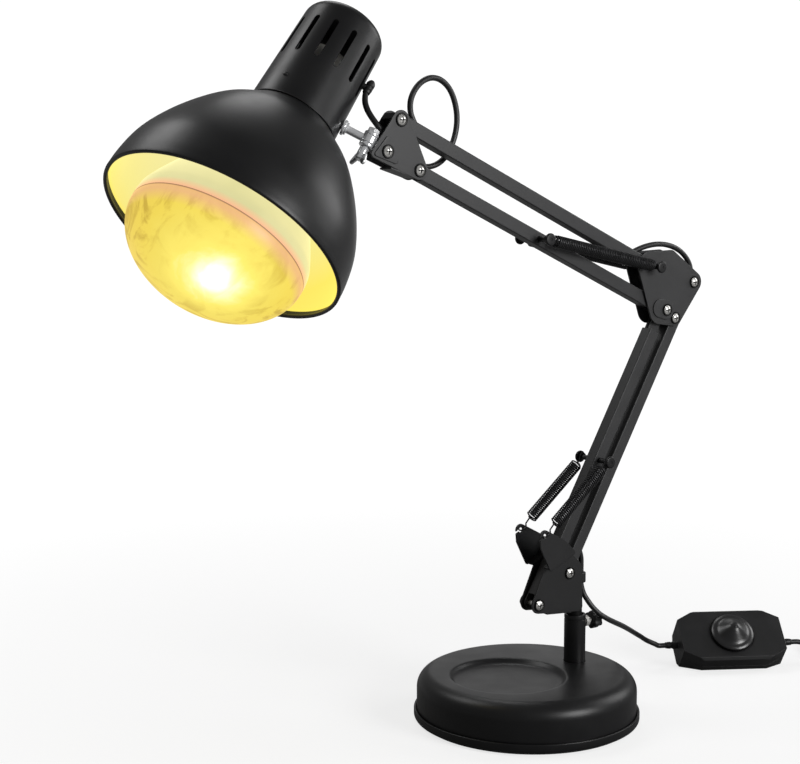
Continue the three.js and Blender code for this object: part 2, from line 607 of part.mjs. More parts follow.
// Head joint: the knuckle tilts on the bracket, and the stem swivels in it under the wing screw
function addHeadJoint() {
  const pivot = new THREE.Vector3(KNUCKLE_PIVOT[0], 0, KNUCKLE_PIVOT[1]).sub(swivelPoint);
  const pivotAt = [pivot.dot(acrossJoint), pivot.dot(swivelAxis)];
  const half = PLATE_INSIDE - GAP - 0.2;
  const eye = atPivot(turned([[0, -half], [4.9, -half], [4.9, half], [0, half]], LOWER_SIDES, 'y'), pivotAt);
  const cheek = (low) => rod(5.2, low, low + 2, LOWER_SIDES, 'z');
  const bridge = (low) => new THREE.BoxGeometry(9, 8, 2).translate(4.5, 0, low + 1);
  const spine = new THREE.BoxGeometry(3.4, 8, 10.2).translate(7.9, 0, 0);
  const body = join([eye, cheek(3.1), cheek(-5.1), bridge(3.1), bridge(-5.1), spine]);
  const swivelBore = rod(BOLT_HOLE, -9, 9, LOWER_SIDES, 'z');
  const pivotBore = atPivot(turned([[0, -9], [BOLT_HOLE, -9], [BOLT_HOLE, 9], [0, 9]], LOWER_SIDES, 'y'), pivotAt);
  addPart('tilt_knuckle', cut(body, [swivelBore, pivotBore]), CHROME, jointGroup);

  const nut = turned([[2.7, 5.4], [4.6, 5.4], [4.6, 8.4], [2.7, 8.4], [2.7, 5.4]], 6);
  addPart('swivel_nut', nut, CHROME, jointGroup);
  const shank = rod(BOLT_RADIUS, -15, 9.4, LOWER_SIDES, 'z');
  const hub = rod(3.4, -15.5, -5.5, LOWER_SIDES, 'z');
  const wing = (side) => {
    const ring = [[side * 2, -13, 1.8], [side * 6.6, -16.8, 2], [side * 5, -12, 1.5]];
    const geometry = new THREE.ExtrudeGeometry(roundOutline(side > 0 ? ring : ring.reverse()),
      { depth: 2, bevelEnabled: false });
    return geometry.rotateX(Math.PI / 2).rotateZ(Math.PI / 2).translate(-1, 0, 0);
  };
  addPart('wing_screw', join([shank, hub, wing(1), wing(-1)]), CHROME, jointGroup);

  const stemEye = rod(5.3, -2.8, 2.8, ROUND_SIDES, 'z');
  const toHead = STEM_REACH - CAP_FOOT_RADIUS - GAP;
  const stem = turned([[0, 4.4], [2.75, 4.4], [2.75, toHead - 2], [5.4, toHead - 1.6], [5.4, toHead], [1.7, toHead],
    [1.7, toHead + 4], [0, toHead + 4]], LOWER_SIDES, 'x');
  const turn = Math.atan2(-armWay.y, -armWay.dot(acrossJoint));
  stem.rotateZ(turn);
  addPart('head_stem', cut(join([stemEye, stem]), [rod(BOLT_HOLE, -5, 5, LOWER_SIDES, 'z')]), CHROME, jointGroup);
}

// Head
function shadeOutline(inset) {
  const curve = new THREE.CatmullRomCurve3([[CAP_FOOT_RADIUS - 0.4, SHADE_TOP], [41, 91.8], [52.5, 81.3], [65, 64.5],
    [75.5, 46], [82.3, 29], [85.2, 12], [SHADE_RADIUS, 0]].map(([r, h]) => new THREE.Vector3(r, h, 0)));
  const points = [];
  const rows = 6;
  for (let i = 0; i <= rows; i += 1) {
    const point = curve.getPoint(i / rows);
    const along = curve.getTangent(i / rows);
    points.push([point.x + along.y * inset, point.y - along.x * inset]);
  }
  return points;
}

function addShade() {
  const wall = 1;
  const outer = shadeOutline(0);
  const inner = shadeOutline(wall).reverse();
  inner[0][1] = 0;
  inner[inner.length - 1] = [CAP_FOOT_RADIUS - 2, SHADE_TOP - wall];
  const opening = 23;
  const profile = [[opening, SHADE_TOP], ...outer, ...inner, [opening, SHADE_TOP - wall], [opening, SHADE_TOP]];
  addPart('shade', turned(profile, WIDE_SIDES), BLACK_PAINT, headGroup);
}

function capOutline(inset) {
  const foot = SHADE_TOP + GAP;
  const crown = 9;
  const points = [[CAP_FOOT_RADIUS - inset, foot]];
  const centre = [CAP_TOP_RADIUS - crown, CAP_TOP - crown];
  for (let k = 0; k <= 3; k += 1) {
    const angle = rad(30 * k);
    points.push([centre[0] + (crown - inset) * Math.cos(angle), centre[1] + (crown - inset) * Math.sin(angle)]);
  }
  points.push([0, CAP_TOP - inset + 0.8]);
  return points;
}

function addSocketCap() {
  const profile = [...capOutline(0), ...capOutline(CAP_WALL).reverse(), [CAP_FOOT_RADIUS, SHADE_TOP + GAP]];
  const vents = [];
  for (let k = 0; k < VENTS; k += 1) {
    const tool = new THREE.BoxGeometry(VENT_WIDTH, 8, VENT_HIGH - VENT_LOW);
    tool.translate(0, -CAP_TOP_RADIUS, (VENT_LOW + VENT_HIGH) / 2);
    vents.push(tool.rotateZ(rad(-6.7) + 2 * Math.PI * k / VENTS));
  }
  vents.push(rod(BOLT_HOLE, 20, 40, LOWER_SIDES, 'x').translate(0, 0, STEM_LEVEL));
  addPart('socket_cap', cut(turned(profile, WIDE_SIDES), vents), BLACK_PAINT, headGroup);
}

function addSocketAndBulb() {
  const flange = SHADE_TOP + GAP + 0.2;
  const socket = [[14.2, 108.9], [17, 108.9], [17, flange], [28.5, flange], [28.5, flange + 3], [20, flange + 3],
    [20, 150], [16, 158], [9, 161], [0, 161], [0, 146], [14.2, 146], [14.2, 108.9]];
  addPart('lamp_socket', turned(socket, ROUND_SIDES), CERAMIC, headGroup);
  const threads = [[0, 142.5], [5, 142.5], [9, 139.5], [12.4, 138]];
  for (let k = 0; k < 3; k += 1) threads.push([13.4, 135 - 8 * k], [12.3, 131 - 8 * k]);
  threads.push([13.2, 112], [13.2, 107.6], [9.5, 107.6], [0, 107.6]);
  addPart('bulb_base', turned(threads.reverse(), ROUND_SIDES), CHROME, headGroup);
  const outline = [[10, 107.3], [14, 107.3], [16, 100], [26, 76], [43.5, 42], [59, 12], [BULB_RADIUS, -5], [59.4, -18.3],
    [49.3, -31.5], [31.3, -42.2], [0, -48]];
  const wall = 1.2;
  const inside = outline.map(([r, h]) => [Math.max(0, r - wall), h + (h < 0 ? wall : 0)]).reverse();
  inside[inside.length - 1] = [10, 107.3];
  addPart('bulb_glass', turned([...outline, ...inside], 24), GLASS, headGroup);
  const relief = turned([[0, 145], [2.7, 145], [3.1, 148], [3.1, 156], [2, 158.4], [0, 158.8]], LOWER_SIDES);
  addPart('strain_relief', relief.translate(RELIEF_X, 0, 0), BLACK_PLASTIC, headGroup);
}

function addCables() {
  const headLead = [...headPoints([[RELIEF_X, 0, 144.7], [RELIEF_X, 0, 141]]), [-139.2, 9.5, 451.3], [-136.8, 4.2, 446.3],
    [-133.6, 0.8, 440.8], [-130.6, 0, 434.4]];
  addPart('head_lead_cable', cable(headLead, CORD_RADIUS, 9), BLACK_PLASTIC);
  const headLoop = [[-100.5, 0, 434.6], [-104.4, 0, 441.2], [-107.6, 0.6, 449], [-106.4, 2.5, 457], [-102, 4, 464.5],
    [-95, 5.5, 470.5], [-86, 7, 473.8], [-77, 8.2, 473], [-69, 9, 468], [-63.5, 9.6, 459.5], [-61.8, 9.8, 449],
    [-63.6, 9.8, 438.5], [-68.6, 9.8, 428.5], [-76.5, 9.4, 420.8], [-87, 7, 417.6], [-98, 3.4, 418.6],
    [-106, 1, 421.6], [-112.4, 0, 425.4]];
  addPart('head_loop_cable', cable(headLoop, CORD_RADIUS, 26), BLACK_PLASTIC);
  const elbowLoop = [[96.6, 0, 346.8], [102.6, 0, 349.2], [109, 0, 351.4], [117.5, 0, 353.4], [127, 0, 354.4],
    [137, 0, 353.8], [147, 0, 351.2], [155.5, 0, 346.6], [161.5, 0, 340.6], [164.2, 0, 334.8], [163.8, 0, 329.9]];
  addPart('elbow_cable', cable(elbowLoop, CORD_RADIUS, 15), BLACK_PLASTIC);
  const foot = [[45.6, 0, 124.6], [48.6, 0, 124.2], [51.4, 0, 121.6], [53.1, 0, 116.6], [CLIP_X, 0, 110.6],
    [CLIP_X, 0, CLIP_TOP + GAP]];
  addPart('foot_cable', cable(foot, CORD_RADIUS, 6), BLACK_PLASTIC);
}

// Points of the head's own frame, in the lamp's frame
function headPoints(points) {
  headGroup.updateMatrixWorld(true);
  return points.map((point) => headGroup.localToWorld(new THREE.Vector3(...point)).toArray());
}

// Dimmer on the cord, rolled on to the bevel along its lower edge
const dimmerGroup = new THREE.Group();
dimmerGroup.position.set(...DIMMER_CENTRE);
dimmerGroup.rotation.set(rad(DIMMER_ROLL), 0, rad(DIMMER_HEADING), 'ZYX');
group.add(dimmerGroup);

function dimmerBody(low, high) {
  const [endX, endY] = [DIMMER_LENGTH / 2, DIMMER_WIDTH / 2];
  const corners = [[endX, 15.5], [27.7, endY], [-27.7, endY], [-endX, 15.5], [-endX, -15.5], [-27.7, -endY],
    [27.7, -endY], [endX, -15.5]];
  const plan = new THREE.Shape(corners.map(([x, y]) => new THREE.Vector2(x, y)));
  const block = new THREE.ExtrudeGeometry(plan, { depth: high - low, bevelEnabled: false }).translate(0, 0, low);
  const top = DIMMER_HEIGHT / 2;
  const roll = rad(DIMMER_ROLL);
  const sideHeight = (endY * Math.sin(roll) - DIMMER_REST) / Math.cos(roll);
  const footWidth = (DIMMER_REST - top * Math.cos(roll)) / Math.sin(roll);
  const half = [[footWidth, -top], [endY, sideHeight], [endY, top - 2], [endY - 2, top]];
  const section = [...half, ...half.map(([y, z]) => [-y, z]).reverse()];
  const shape = new THREE.Shape(section.map(([y, z]) => new THREE.Vector2(y, z)));
  const long = new THREE.ExtrudeGeometry(shape, { depth: DIMMER_LENGTH, bevelEnabled: false });
  long.rotateX(Math.PI / 2).rotateZ(Math.PI / 2).translate(-endX, 0, 0);
  return common(block, long);
}

function addDimmer() {
  const top = DIMMER_HEIGHT / 2;
  const seam = 3.5;
  const collar = (side) => {
    const geometry = turned([[0, DIMMER_LENGTH / 2 - 4], [4, DIMMER_LENGTH / 2 - 4], [4, DIMMER_LENGTH / 2 + 2],
      [2.8, DIMMER_LENGTH / 2 + COLLAR], [0, DIMMER_LENGTH / 2 + COLLAR]], LOWER_SIDES, 'x');
    return side > 0 ? geometry : geometry.rotateZ(Math.PI);
  };
  const bottomShell = join([dimmerBody(-top, seam - GAP), collar(1), collar(-1)]);
  const clearance = (side) => rod(4.6, DIMMER_LENGTH / 2 - 5, DIMMER_LENGTH / 2 + 1, LOWER_SIDES, 'x')
    .rotateZ(side > 0 ? 0 : Math.PI);
  addPart('dimmer_bottom', bottomShell, BLACK_PLASTIC, dimmerGroup);
  addPart('dimmer_top', cut(dimmerBody(seam, top), [clearance(1), clearance(-1)]), BLACK_PLASTIC, dimmerGroup);
  const knob = turned([[0, top + GAP], [17.6, top + GAP], [17.6, top + 2.4], [16.2, top + 4], [11.5, top + 5],
    [9.5, top + 7], [7, top + 12], [0, top + 12.6]], ROUND_SIDES);
  const grip = new THREE.BoxGeometry(3.4, 27, 8).translate(0, 0, top + 6.5);
  addPart('dimmer_knob', join([knob, grip]), BLACK_PLASTIC, dimmerGroup);
}

// Free cord: the lead hangs from the clip into the dimmer, and the tail leaves it for the coil
function dimmerEnd(side, beyond) {
  dimmerGroup.updateMatrixWorld(true);
  const reach = side * (DIMMER_LENGTH / 2 + COLLAR + GAP + beyond);
  return dimmerGroup.localToWorld(new THREE.Vector3(reach, 0, 0)).toArray();
}

function coilPoints() {
  const steps = Math.round(24 * (2 * COIL_TURNS + 0.5));
  const points = [];
  for (let i = 0; i <= steps; i += 1) {
    const turn = i / 24;
    const climb = Math.min(1, Math.max(0, (turn - COIL_TURNS) / 0.5));
    const inward = Math.min(turn, COIL_TURNS + 0.25);
    const outward = Math.max(0, turn - COIL_TURNS - 0.25);
    const radius = COIL_OUTER - COIL_PITCH * (inward - outward);
    const angle = -Math.PI / 2 + 2 * Math.PI * turn;
    points.push(new THREE.Vector3(COIL_CENTRE[0] + radius * Math.cos(angle), COIL_CENTRE[1] + radius * Math.sin(angle),
      CORD_RADIUS + COIL_PITCH * climb));
  }
  const straight = 2 * CORD_RADIUS;
  const first = points[0].clone().sub(points[1]).setZ(0).normalize();
  points.unshift(points[0].clone().addScaledVector(first, straight));
  const last = points[points.length - 1];
  const ahead = last.clone().sub(points[points.length - 2]).setZ(0).normalize();
  points.push(last.clone().addScaledVector(ahead, straight));
  return points;
}

function addCord() {
  const lead = [[CLIP_X, 0, CLIP_TOP - CLIP_HEIGHT - GAP], [CLIP_X + 0.2, 0.4, 91], [55.2, 2.8, 84.8], [59.6, 7.8, 79.6],
    [67, 14.4, 75], [77, 21.6, 70], [89, 28.6, 63.6], [102, 34.8, 56.4], [116, 40, 48.4], [130, 43.4, 40.2],
    [143.5, 44.6, 32.4], [155.5, 43.4, 25.4], [165.5, 40.9, 20], dimmerEnd(-1, 6), dimmerEnd(-1, 0)];
  addPart('cord_lead', cable(lead, CORD_RADIUS, 22), BLACK_PLASTIC);
  const coil = coilPoints();
  printSelfGap('cord_coil', coil, CORD_RADIUS, 10);
  addPart('cord_coil', woundTube(coil, CORD_RADIUS, 6), BLACK_PLASTIC);
  const back = coil[0].clone().sub(coil[1]).normalize();
  const onTail = (distance) => coil[0].clone().addScaledVector(back, distance).toArray();
  const tail = [dimmerEnd(1, 0), dimmerEnd(1, 6), [286, -27.4, 14.8], [292, -33.6, 11.4], [296, -41, 8],
    [299, -49, 5], [303.6, -56.2, 3], [309.8, -61, 2.2], [317.5, -63.2, CORD_RADIUS],
    onTail(5), onTail(GAP)];
  addPart('cord_tail', cable(tail, CORD_RADIUS, 14), BLACK_PLASTIC);
  addPlug(coil[coil.length - 1], coil[coil.length - 1].clone().sub(coil[coil.length - 2]).normalize());
}

// Plug lying flat on the floor at the end of the coil, with two flat blades
function addPlug(start, along) {
  const plug = new THREE.Group();
  plug.position.copy(start).addScaledVector(along, GAP);
  plug.rotation.z = Math.atan2(along.y, along.x);
  group.add(plug);
  const half = start.z;
  const relief = turned([[0, 0], [2.9, 0], [4.6, 18], [4.6, 24], [0, 24]], LOWER_SIDES, 'x');
  const shape = new THREE.Shape([[20, -6], [26, -10.5], [48, -12.5], [50, -11], [50, 11], [48, 12.5], [26, 10.5], [20, 6]]
    .map(([x, y]) => new THREE.Vector2(x, y)));
  const edge = { depth: 2 * half - 2.4, bevelSize: 1.2, bevelThickness: 1.2, bevelOffset: -1.2, bevelSegments: 1 };
  const body = new THREE.ExtrudeGeometry(shape, edge).translate(0, 0, 1.2 - half);
  addPart('plug_body', join([relief, body]), BLACK_PLASTIC, plug);
  for (const [name, side] of [['plug_blade_left', 1], ['plug_blade_right', -1]]) {
    const blade = new THREE.BoxGeometry(17, 1.5, 6.3).translate(50 + GAP + 8.5, side * 6.35, 0);
    addPart(name, blade, CHROME, plug);
  }
}

addBase();
addPost();
addLock();
addLowerBracket();
addLowerArm();
addElbow();
addUpperArm();
addHeadBracket();
addHeadJoint();
addShade();
addSocketCap();
addSocketAndBulb();
addCables();
addDimmer();
addCord();

export default group;
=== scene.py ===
# Kitchen heat lamp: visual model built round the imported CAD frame.
import math

import bmesh
import bpy
from mathutils import Matrix, Vector


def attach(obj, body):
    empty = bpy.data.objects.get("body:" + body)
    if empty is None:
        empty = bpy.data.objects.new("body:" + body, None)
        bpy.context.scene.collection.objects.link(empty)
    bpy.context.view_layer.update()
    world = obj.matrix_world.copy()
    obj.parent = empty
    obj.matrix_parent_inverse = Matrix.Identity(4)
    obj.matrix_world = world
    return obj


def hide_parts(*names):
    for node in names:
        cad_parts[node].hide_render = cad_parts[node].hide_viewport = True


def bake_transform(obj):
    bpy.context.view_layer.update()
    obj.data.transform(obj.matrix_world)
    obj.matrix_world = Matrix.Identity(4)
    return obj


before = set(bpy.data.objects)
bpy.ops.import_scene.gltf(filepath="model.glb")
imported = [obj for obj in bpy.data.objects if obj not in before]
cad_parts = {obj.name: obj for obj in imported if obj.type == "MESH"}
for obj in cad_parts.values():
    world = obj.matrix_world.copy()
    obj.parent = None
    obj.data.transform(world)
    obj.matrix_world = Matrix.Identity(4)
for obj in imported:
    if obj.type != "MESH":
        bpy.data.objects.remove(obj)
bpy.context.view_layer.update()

MM = 0.001
TAU = 2 * math.pi
scene = bpy.context.scene

# Driving dimensions, the same as in the CAD source
POST_X = 48
POST_TOP = 73
LOCK_HEIGHT = 65.5
PLATE = 1.4
PLATE_INSIDE = 5.7
PLATE_OUTSIDE = 7.1
GAP = 0.3
SCREW_AT = PLATE_OUTSIDE + GAP
PIN_HOLE = 2.2
BASE_HEIGHT = 36
DISH_X = -18
DISH_DEPTH = 4
SHADE_TOP = 100.4
BAR_WIDTH = 10
FORK_LENGTH = 19
CORD_RADIUS = 2.1
FRONT_FOOT = (5.8, 87.4)
REAR_FOOT = (35.8, 107.9)
FRONT_TOP = (131.8, 303.7)
REAR_TOP = (161.8, 324.2)
TOP_BAR_FOOT = (116.3, 337.7)
TOP_BAR_END = (-120.7, 443.9)
BOTTOM_BAR_END = (-105.2, 409.9)
KNUCKLE_PIVOT = (-132.6, 422.4)
FRICTION_SCREW = (141.8, 296.8)
SPRING_EAR = (4.3, 141.5)
SPRING_SIDE = 14
LOWER_SPRING_AT = 0.48
UPPER_SPRING_AT = 0.5385
HEAD_ORIGIN = Vector((-251.5, 10.6, 365.1))
STEM_LEVEL = 116
STEM_REACH = 51.9
CAP_RADIUS = 31.8
CAP_TOP = 189
BULB_RADIUS = 62.4
BULB_REACH = 48
BULB_EDGE = -5.1
RELIEF_X = 34.2
RELIEF_LEVEL = 152
DIMMER_CENTRE = Vector((226.8, 7.4, 17))
DIMMER_HEADING = -29.9
DIMMER_ROLL = 40
DIMMER_LENGTH = 87.4
DIMMER_WIDTH = 48.8
DIMMER_HEIGHT = 29
DIMMER_REST = 17
DIMMER_SEAM = 3.5
COLLAR = 10
CLIP_X = 53.4
CLIP_TOP = 105
CLIP_HEIGHT = 8
COIL_CENTRE = (334, -30)
COIL_OUTER = 33
COIL_TURNS = 3.33
COIL_PITCH = 4.65

# Sizes of the dressing alone
HOT_SPOT = (13, -31, -40)
LEAD_LANDS = Vector((121.4, 19.8, 44.8))
LOOP_HOLE = (-115.2, 422)
WEB_INSET = 0.2
SHARP_ANGLE = 35
BEVEL_ANGLE = 40
SCREW_HEAD = 3.55
SCREW_DOME = 1.6
NUT_HEIGHT = 3.0
SPRING_RADIUS = 4.15
SPRING_WIRE = 0.6
SPRING_PITCH = 1.72
CURL_POINTS = 20
BASE_SIDES = 128
HEAD_SIDES = 128
VENTS = 13
FLUTES = 48


rad = math.radians


def between(a, b, t):
    return tuple(p + (q - p) * t for p, q in zip(a, b))


LOWER_SPRING_PIN = between(FRONT_FOOT, FRONT_TOP, LOWER_SPRING_AT)
UPPER_SPRING_PIN = between(FRONT_TOP, BOTTOM_BAR_END, UPPER_SPRING_AT)


def placed(name, data):
    """A new object in the scene."""
    piece = bpy.data.objects.new(name, data)
    scene.collection.objects.link(piece)
    return piece


# Camera, at the photograph's viewing angle
def add_camera():
    data = bpy.data.cameras.new("camera")
    data.lens = 72
    data.sensor_width = 36
    data.clip_end = 50
    camera = placed("camera", data)
    yaw, pitch = rad(-35.3435), rad(-7.0324)
    camera.location = Vector((-755.80, -900.72, 400.28)) * MM
    camera.rotation_euler = (math.pi / 2 + pitch, 0, yaw)
    scene.camera = camera


add_camera()


# Frames of reference: each maps a piece's own axes to the lamp's
def basis(x, y, z, origin):
    rows = [(x[i], y[i], z[i], origin[i]) for i in range(3)]
    return Matrix([*rows, (0, 0, 0, 1)])


def head_frames():
    tilt, heading, stem = rad(40.45), rad(14.3), rad(-23.4)
    axis = Vector((math.sin(tilt) * math.cos(heading), math.sin(tilt) * math.sin(heading), math.cos(tilt)))
    way = Vector((math.cos(stem), math.sin(stem), 0))
    way = (way - axis * way.dot(axis)).normalized()
    across_arm = Vector((0, 1, 0))
    swivel = way.cross(across_arm).normalized()
    point = HEAD_ORIGIN + axis * STEM_LEVEL + way * STEM_REACH
    head = basis(way, axis.cross(way), axis, HEAD_ORIGIN)
    joint = basis(across_arm.cross(swivel), across_arm, swivel, point)
    return head, joint, way


def spin(degrees, axis):
    return Matrix.Rotation(rad(degrees), 4, axis)


def at(x=0, y=0, z=0):
    return Matrix.Translation((x, y, z))


HEAD, JOINT, ARM_WAY = head_frames()
ARM = spin(90, "X")
FAR_SIDE = spin(-90, "X")
ALONG_X = spin(90, "Y")
AGAINST_X = spin(-90, "Y")
DIMMER = Matrix.Translation(DIMMER_CENTRE) @ spin(DIMMER_HEADING, "Z") @ spin(DIMMER_ROLL, "X")


def at_pivot(pivot):
    return at(pivot[0], 0, pivot[1]) @ ARM


def head_point(x, y, z):
    return (HEAD @ Vector((x, y, z))) * MM


def node_material(name):
    """A new material, with its node tree and its Principled shader."""
    material = bpy.data.materials.new(name)
    material.use_nodes = True
    tree = material.node_tree
    return material, tree, tree.nodes["Principled BSDF"]


def fill(tree, target, inputs):
    """Links the inputs of a node to other nodes' outputs, or sets their values."""
    for key, value in inputs.items():
        if isinstance(value, bpy.types.NodeSocket):
            tree.links.new(value, target.inputs[key])
        else:
            target.inputs[key].default_value = value
    return target


def make_node(tree, kind, inputs, **settings):
    made = tree.nodes.new(f"ShaderNode{kind}")
    for key, value in settings.items():
        setattr(made, key, value)
    return fill(tree, made, inputs)


def object_place(tree):
    coordinates = tree.nodes.get("Texture Coordinate") or make_node(tree, "TexCoord", {})
    return coordinates.outputs["Object"]


def noise(tree, scale, **values):
    inputs = {"Vector": object_place(tree), "Scale": scale, **values}
    return make_node(tree, "TexNoise", inputs).outputs["Fac"]


def ramp(tree, source, *stops):
    made = make_node(tree, "ValToRGB", {"Fac": source})
    elements = made.color_ramp.elements
    while len(elements) < len(stops):
        elements.new(0.5)
    for element, (place, value) in zip(elements, stops):
        element.position = place
        element.color = (*(value if isinstance(value, tuple) else grey(value)), 1)
    return made.outputs["Color"]


def combine(tree, operation, a, b):
    return make_node(tree, "Math", {0: a, 1: b}, operation=operation).outputs[0]


def scaled(tree, value, low, high):
    """0 where the value is low, 1 where it is high."""
    return make_node(tree, "MapRange", {"Value": value, "From Min": low, "From Max": high}).outputs["Result"]


def mixed(tree, share, a, b, blend_type="MIX"):
    """Colour a turning into colour b as the share grows from 0 to 1."""
    colours = {key: (*value, 1) if isinstance(value, tuple) else value for key, value in (("A", a), ("B", b))}
    made = make_node(tree, "Mix", {}, data_type="RGBA", blend_type=blend_type)
    return fill(tree, made, {"Factor": share, **colours}).outputs["Result"]


def distance_from(tree, point):
    """Distance in metres of the shaded point from another point."""
    minus = make_node(tree, "VectorMath", {0: object_place(tree), 1: point}, operation="SUBTRACT")
    return make_node(tree, "VectorMath", {0: minus.outputs[0]}, operation="LENGTH").outputs["Value"]


def head_level(tree):
    """Height in metres of the shaded point above the shade's rim, along the head's axis."""
    axis = HEAD.col[2].to_3d()
    dot = make_node(tree, "VectorMath", {0: object_place(tree), 1: axis}, operation="DOT_PRODUCT")
    return combine(tree, "SUBTRACT", dot.outputs["Value"], axis.dot(HEAD_ORIGIN) * MM)


# Materials
def grey(value, blue=None):
    return value, value, value if blue is None else blue


def surface(name, dark, light, rough, metal=0.0, grain=900, bump=0.1, depth=0.00006, coat=0.0,
            smudge=30, gloss=0.5):
    """Two close colours mixed by large soft noise, roughness varied by smudges, and a fine bump."""
    material, tree, shader = node_material(name)
    large = noise(tree, smudge, Detail=4, Roughness=0.6)
    fine = noise(tree, grain, Detail=2)
    relief = make_node(tree, "Bump", {"Strength": bump, "Distance": depth, "Height": fine})
    fill(tree, shader, {"Base Color": ramp(tree, large, (0.35, dark), (0.65, light)),
                        "Roughness": ramp(tree, large, (0.3, rough[0]), (0.7, rough[1])),
                        "Normal": relief.outputs["Normal"], "Metallic": metal, "Specular IOR Level": gloss,
                        "Coat Weight": coat, "Coat Roughness": 0.25})
    return material


PAINT = surface("satin_black_paint", grey(0.0045, 0.005), grey(0.006, 0.0065), (0.34, 0.42),
                bump=0.25, gloss=0.34)
# The next two are the same black paint painted lighter: painted light on the arms and their plates, and less
# of it on the foot plates.
PAINT_PAINTED_LIGHT_ARMS = surface("satin_black_paint_painted_light_arms", grey(0.020, 0.021), grey(0.026, 0.027), (0.42, 0.5),
                bump=0.25, gloss=0.42)
PAINT_PAINTED_LIGHT_FOOT = surface("satin_black_paint_painted_light_foot", grey(0.009, 0.0095), grey(0.012, 0.0125), (0.42, 0.5),
                  bump=0.25, gloss=0.36)
# Blackened steel; the same material is also the painted shade in the screws' cross recesses.
DARK_STEEL_AND_SHADE = surface("blackened_steel_and_painted_shade", grey(0.002), grey(0.003), (0.4, 0.5), gloss=0.2)
PLASTIC = surface("moulded_black_plastic", grey(0.006, 0.0065), grey(0.009, 0.0095),
                  (0.4, 0.5), grain=2600, bump=0.35, depth=0.00004, gloss=0.42)
GLOSSY_PLASTIC = surface("knob_plastic", grey(0.005, 0.0055), grey(0.008, 0.0085),
                         (0.26, 0.34), grain=2600, bump=0.2, depth=0.00003, gloss=0.6)
PVC = surface("cord_sheath", grey(0.005, 0.0055), grey(0.008, 0.0085), (0.38, 0.48),
              grain=1500, bump=0.15)
RUBBER = surface("rubber", grey(0.018), grey(0.026), (0.8, 0.9), grain=1800, bump=0.5)
CHROME = surface("chrome", (0.84, 0.85, 0.87), (0.92, 0.93, 0.94), (0.1, 0.18), metal=0.6,
                 grain=500, bump=0.05, depth=0.00003, smudge=120)
SCREW = surface("screw_steel", (0.66, 0.65, 0.62), (0.80, 0.79, 0.76), (0.18, 0.3), metal=0.7,
                grain=1800, bump=0.2, depth=0.00003, smudge=300)
WIRE = surface("black_spring_wire", grey(0.020, 0.021), grey(0.035, 0.037), (0.22, 0.34),
               metal=0.5, grain=2500, bump=0.15, depth=0.00002, smudge=200)
IRON = surface("cast_iron", grey(0.05, 0.052), (0.09, 0.088, 0.085), (0.7, 0.9), metal=0.6, grain=350,
               bump=0.8, depth=0.0004)
CERAMIC = surface("glazed_ceramic", (0.80, 0.78, 0.72), (0.86, 0.84, 0.79), (0.12, 0.2), grain=300,
                  coat=0.5)
BRASS = surface("bulb_cap_metal", (0.62, 0.60, 0.56), (0.72, 0.70, 0.66), (0.2, 0.32), metal=1,
                bump=0.2)


def glowing(tree, shader, colour, strength, own, rough):
    """Gives the surface a glow of this colour, over a darker coat of it for the studio's light."""
    fill(tree, shader, {"Base Color": mixed(tree, 1, colour, grey(own), "MULTIPLY"), "Emission Color": colour,
                        "Emission Strength": strength, "Roughness": rough})


def enamel_with_painted_glow():
    """Cream enamel inside the shade, with the bulb's light on it painted as a yellow glow towards the rim,
    brightest just inside it.
    """
    material, tree, shader = node_material("cream_enamel_painted_glow")
    level = scaled(tree, distance_from(tree, head_point(-12, 8, 45)), 0.045, 0.108)
    place = combine(tree, "ADD", level, combine(tree, "MULTIPLY", noise(tree, 14, Detail=3), 0.18))
    colour = ramp(tree, place, (0.15, (0.82, 0.76, 0.38)), (0.55, (0.86, 0.77, 0.26)),
                  (0.8, (0.92, 0.75, 0.12)), (1.0, (0.94, 0.78, 0.13)))
    # Painted highlight: brighter yellow just inside the rim.
    rim = scaled(tree, head_level(tree), 0.009, 0.003)
    glowing(tree, shader, mixed(tree, rim, colour, (0.97, 0.80, 0.10)), 0.95, 0.16, 0.4)
    return material


def reflector_painted_glow():
    """Aluminised back of the bulb, seen through its glass, with its reflection of the bulb-lit enamel round
    it painted as a glow.
    """
    material, tree, shader = node_material("bulb_reflector")
    streak = noise(tree, 18, Detail=3, Roughness=0.5)
    colour = ramp(tree, streak, (0.3, (0.60, 0.59, 0.32)), (0.7, (0.76, 0.72, 0.40)))
    # The painted glow turns rosy towards the widest ring.
    rosy_glow = scaled(tree, head_level(tree), 0.0, -0.0045)
    glowing(tree, shader, mixed(tree, rosy_glow, colour, (0.90, 0.50, 0.30)), 0.95, 0.2, 0.3)
    return material


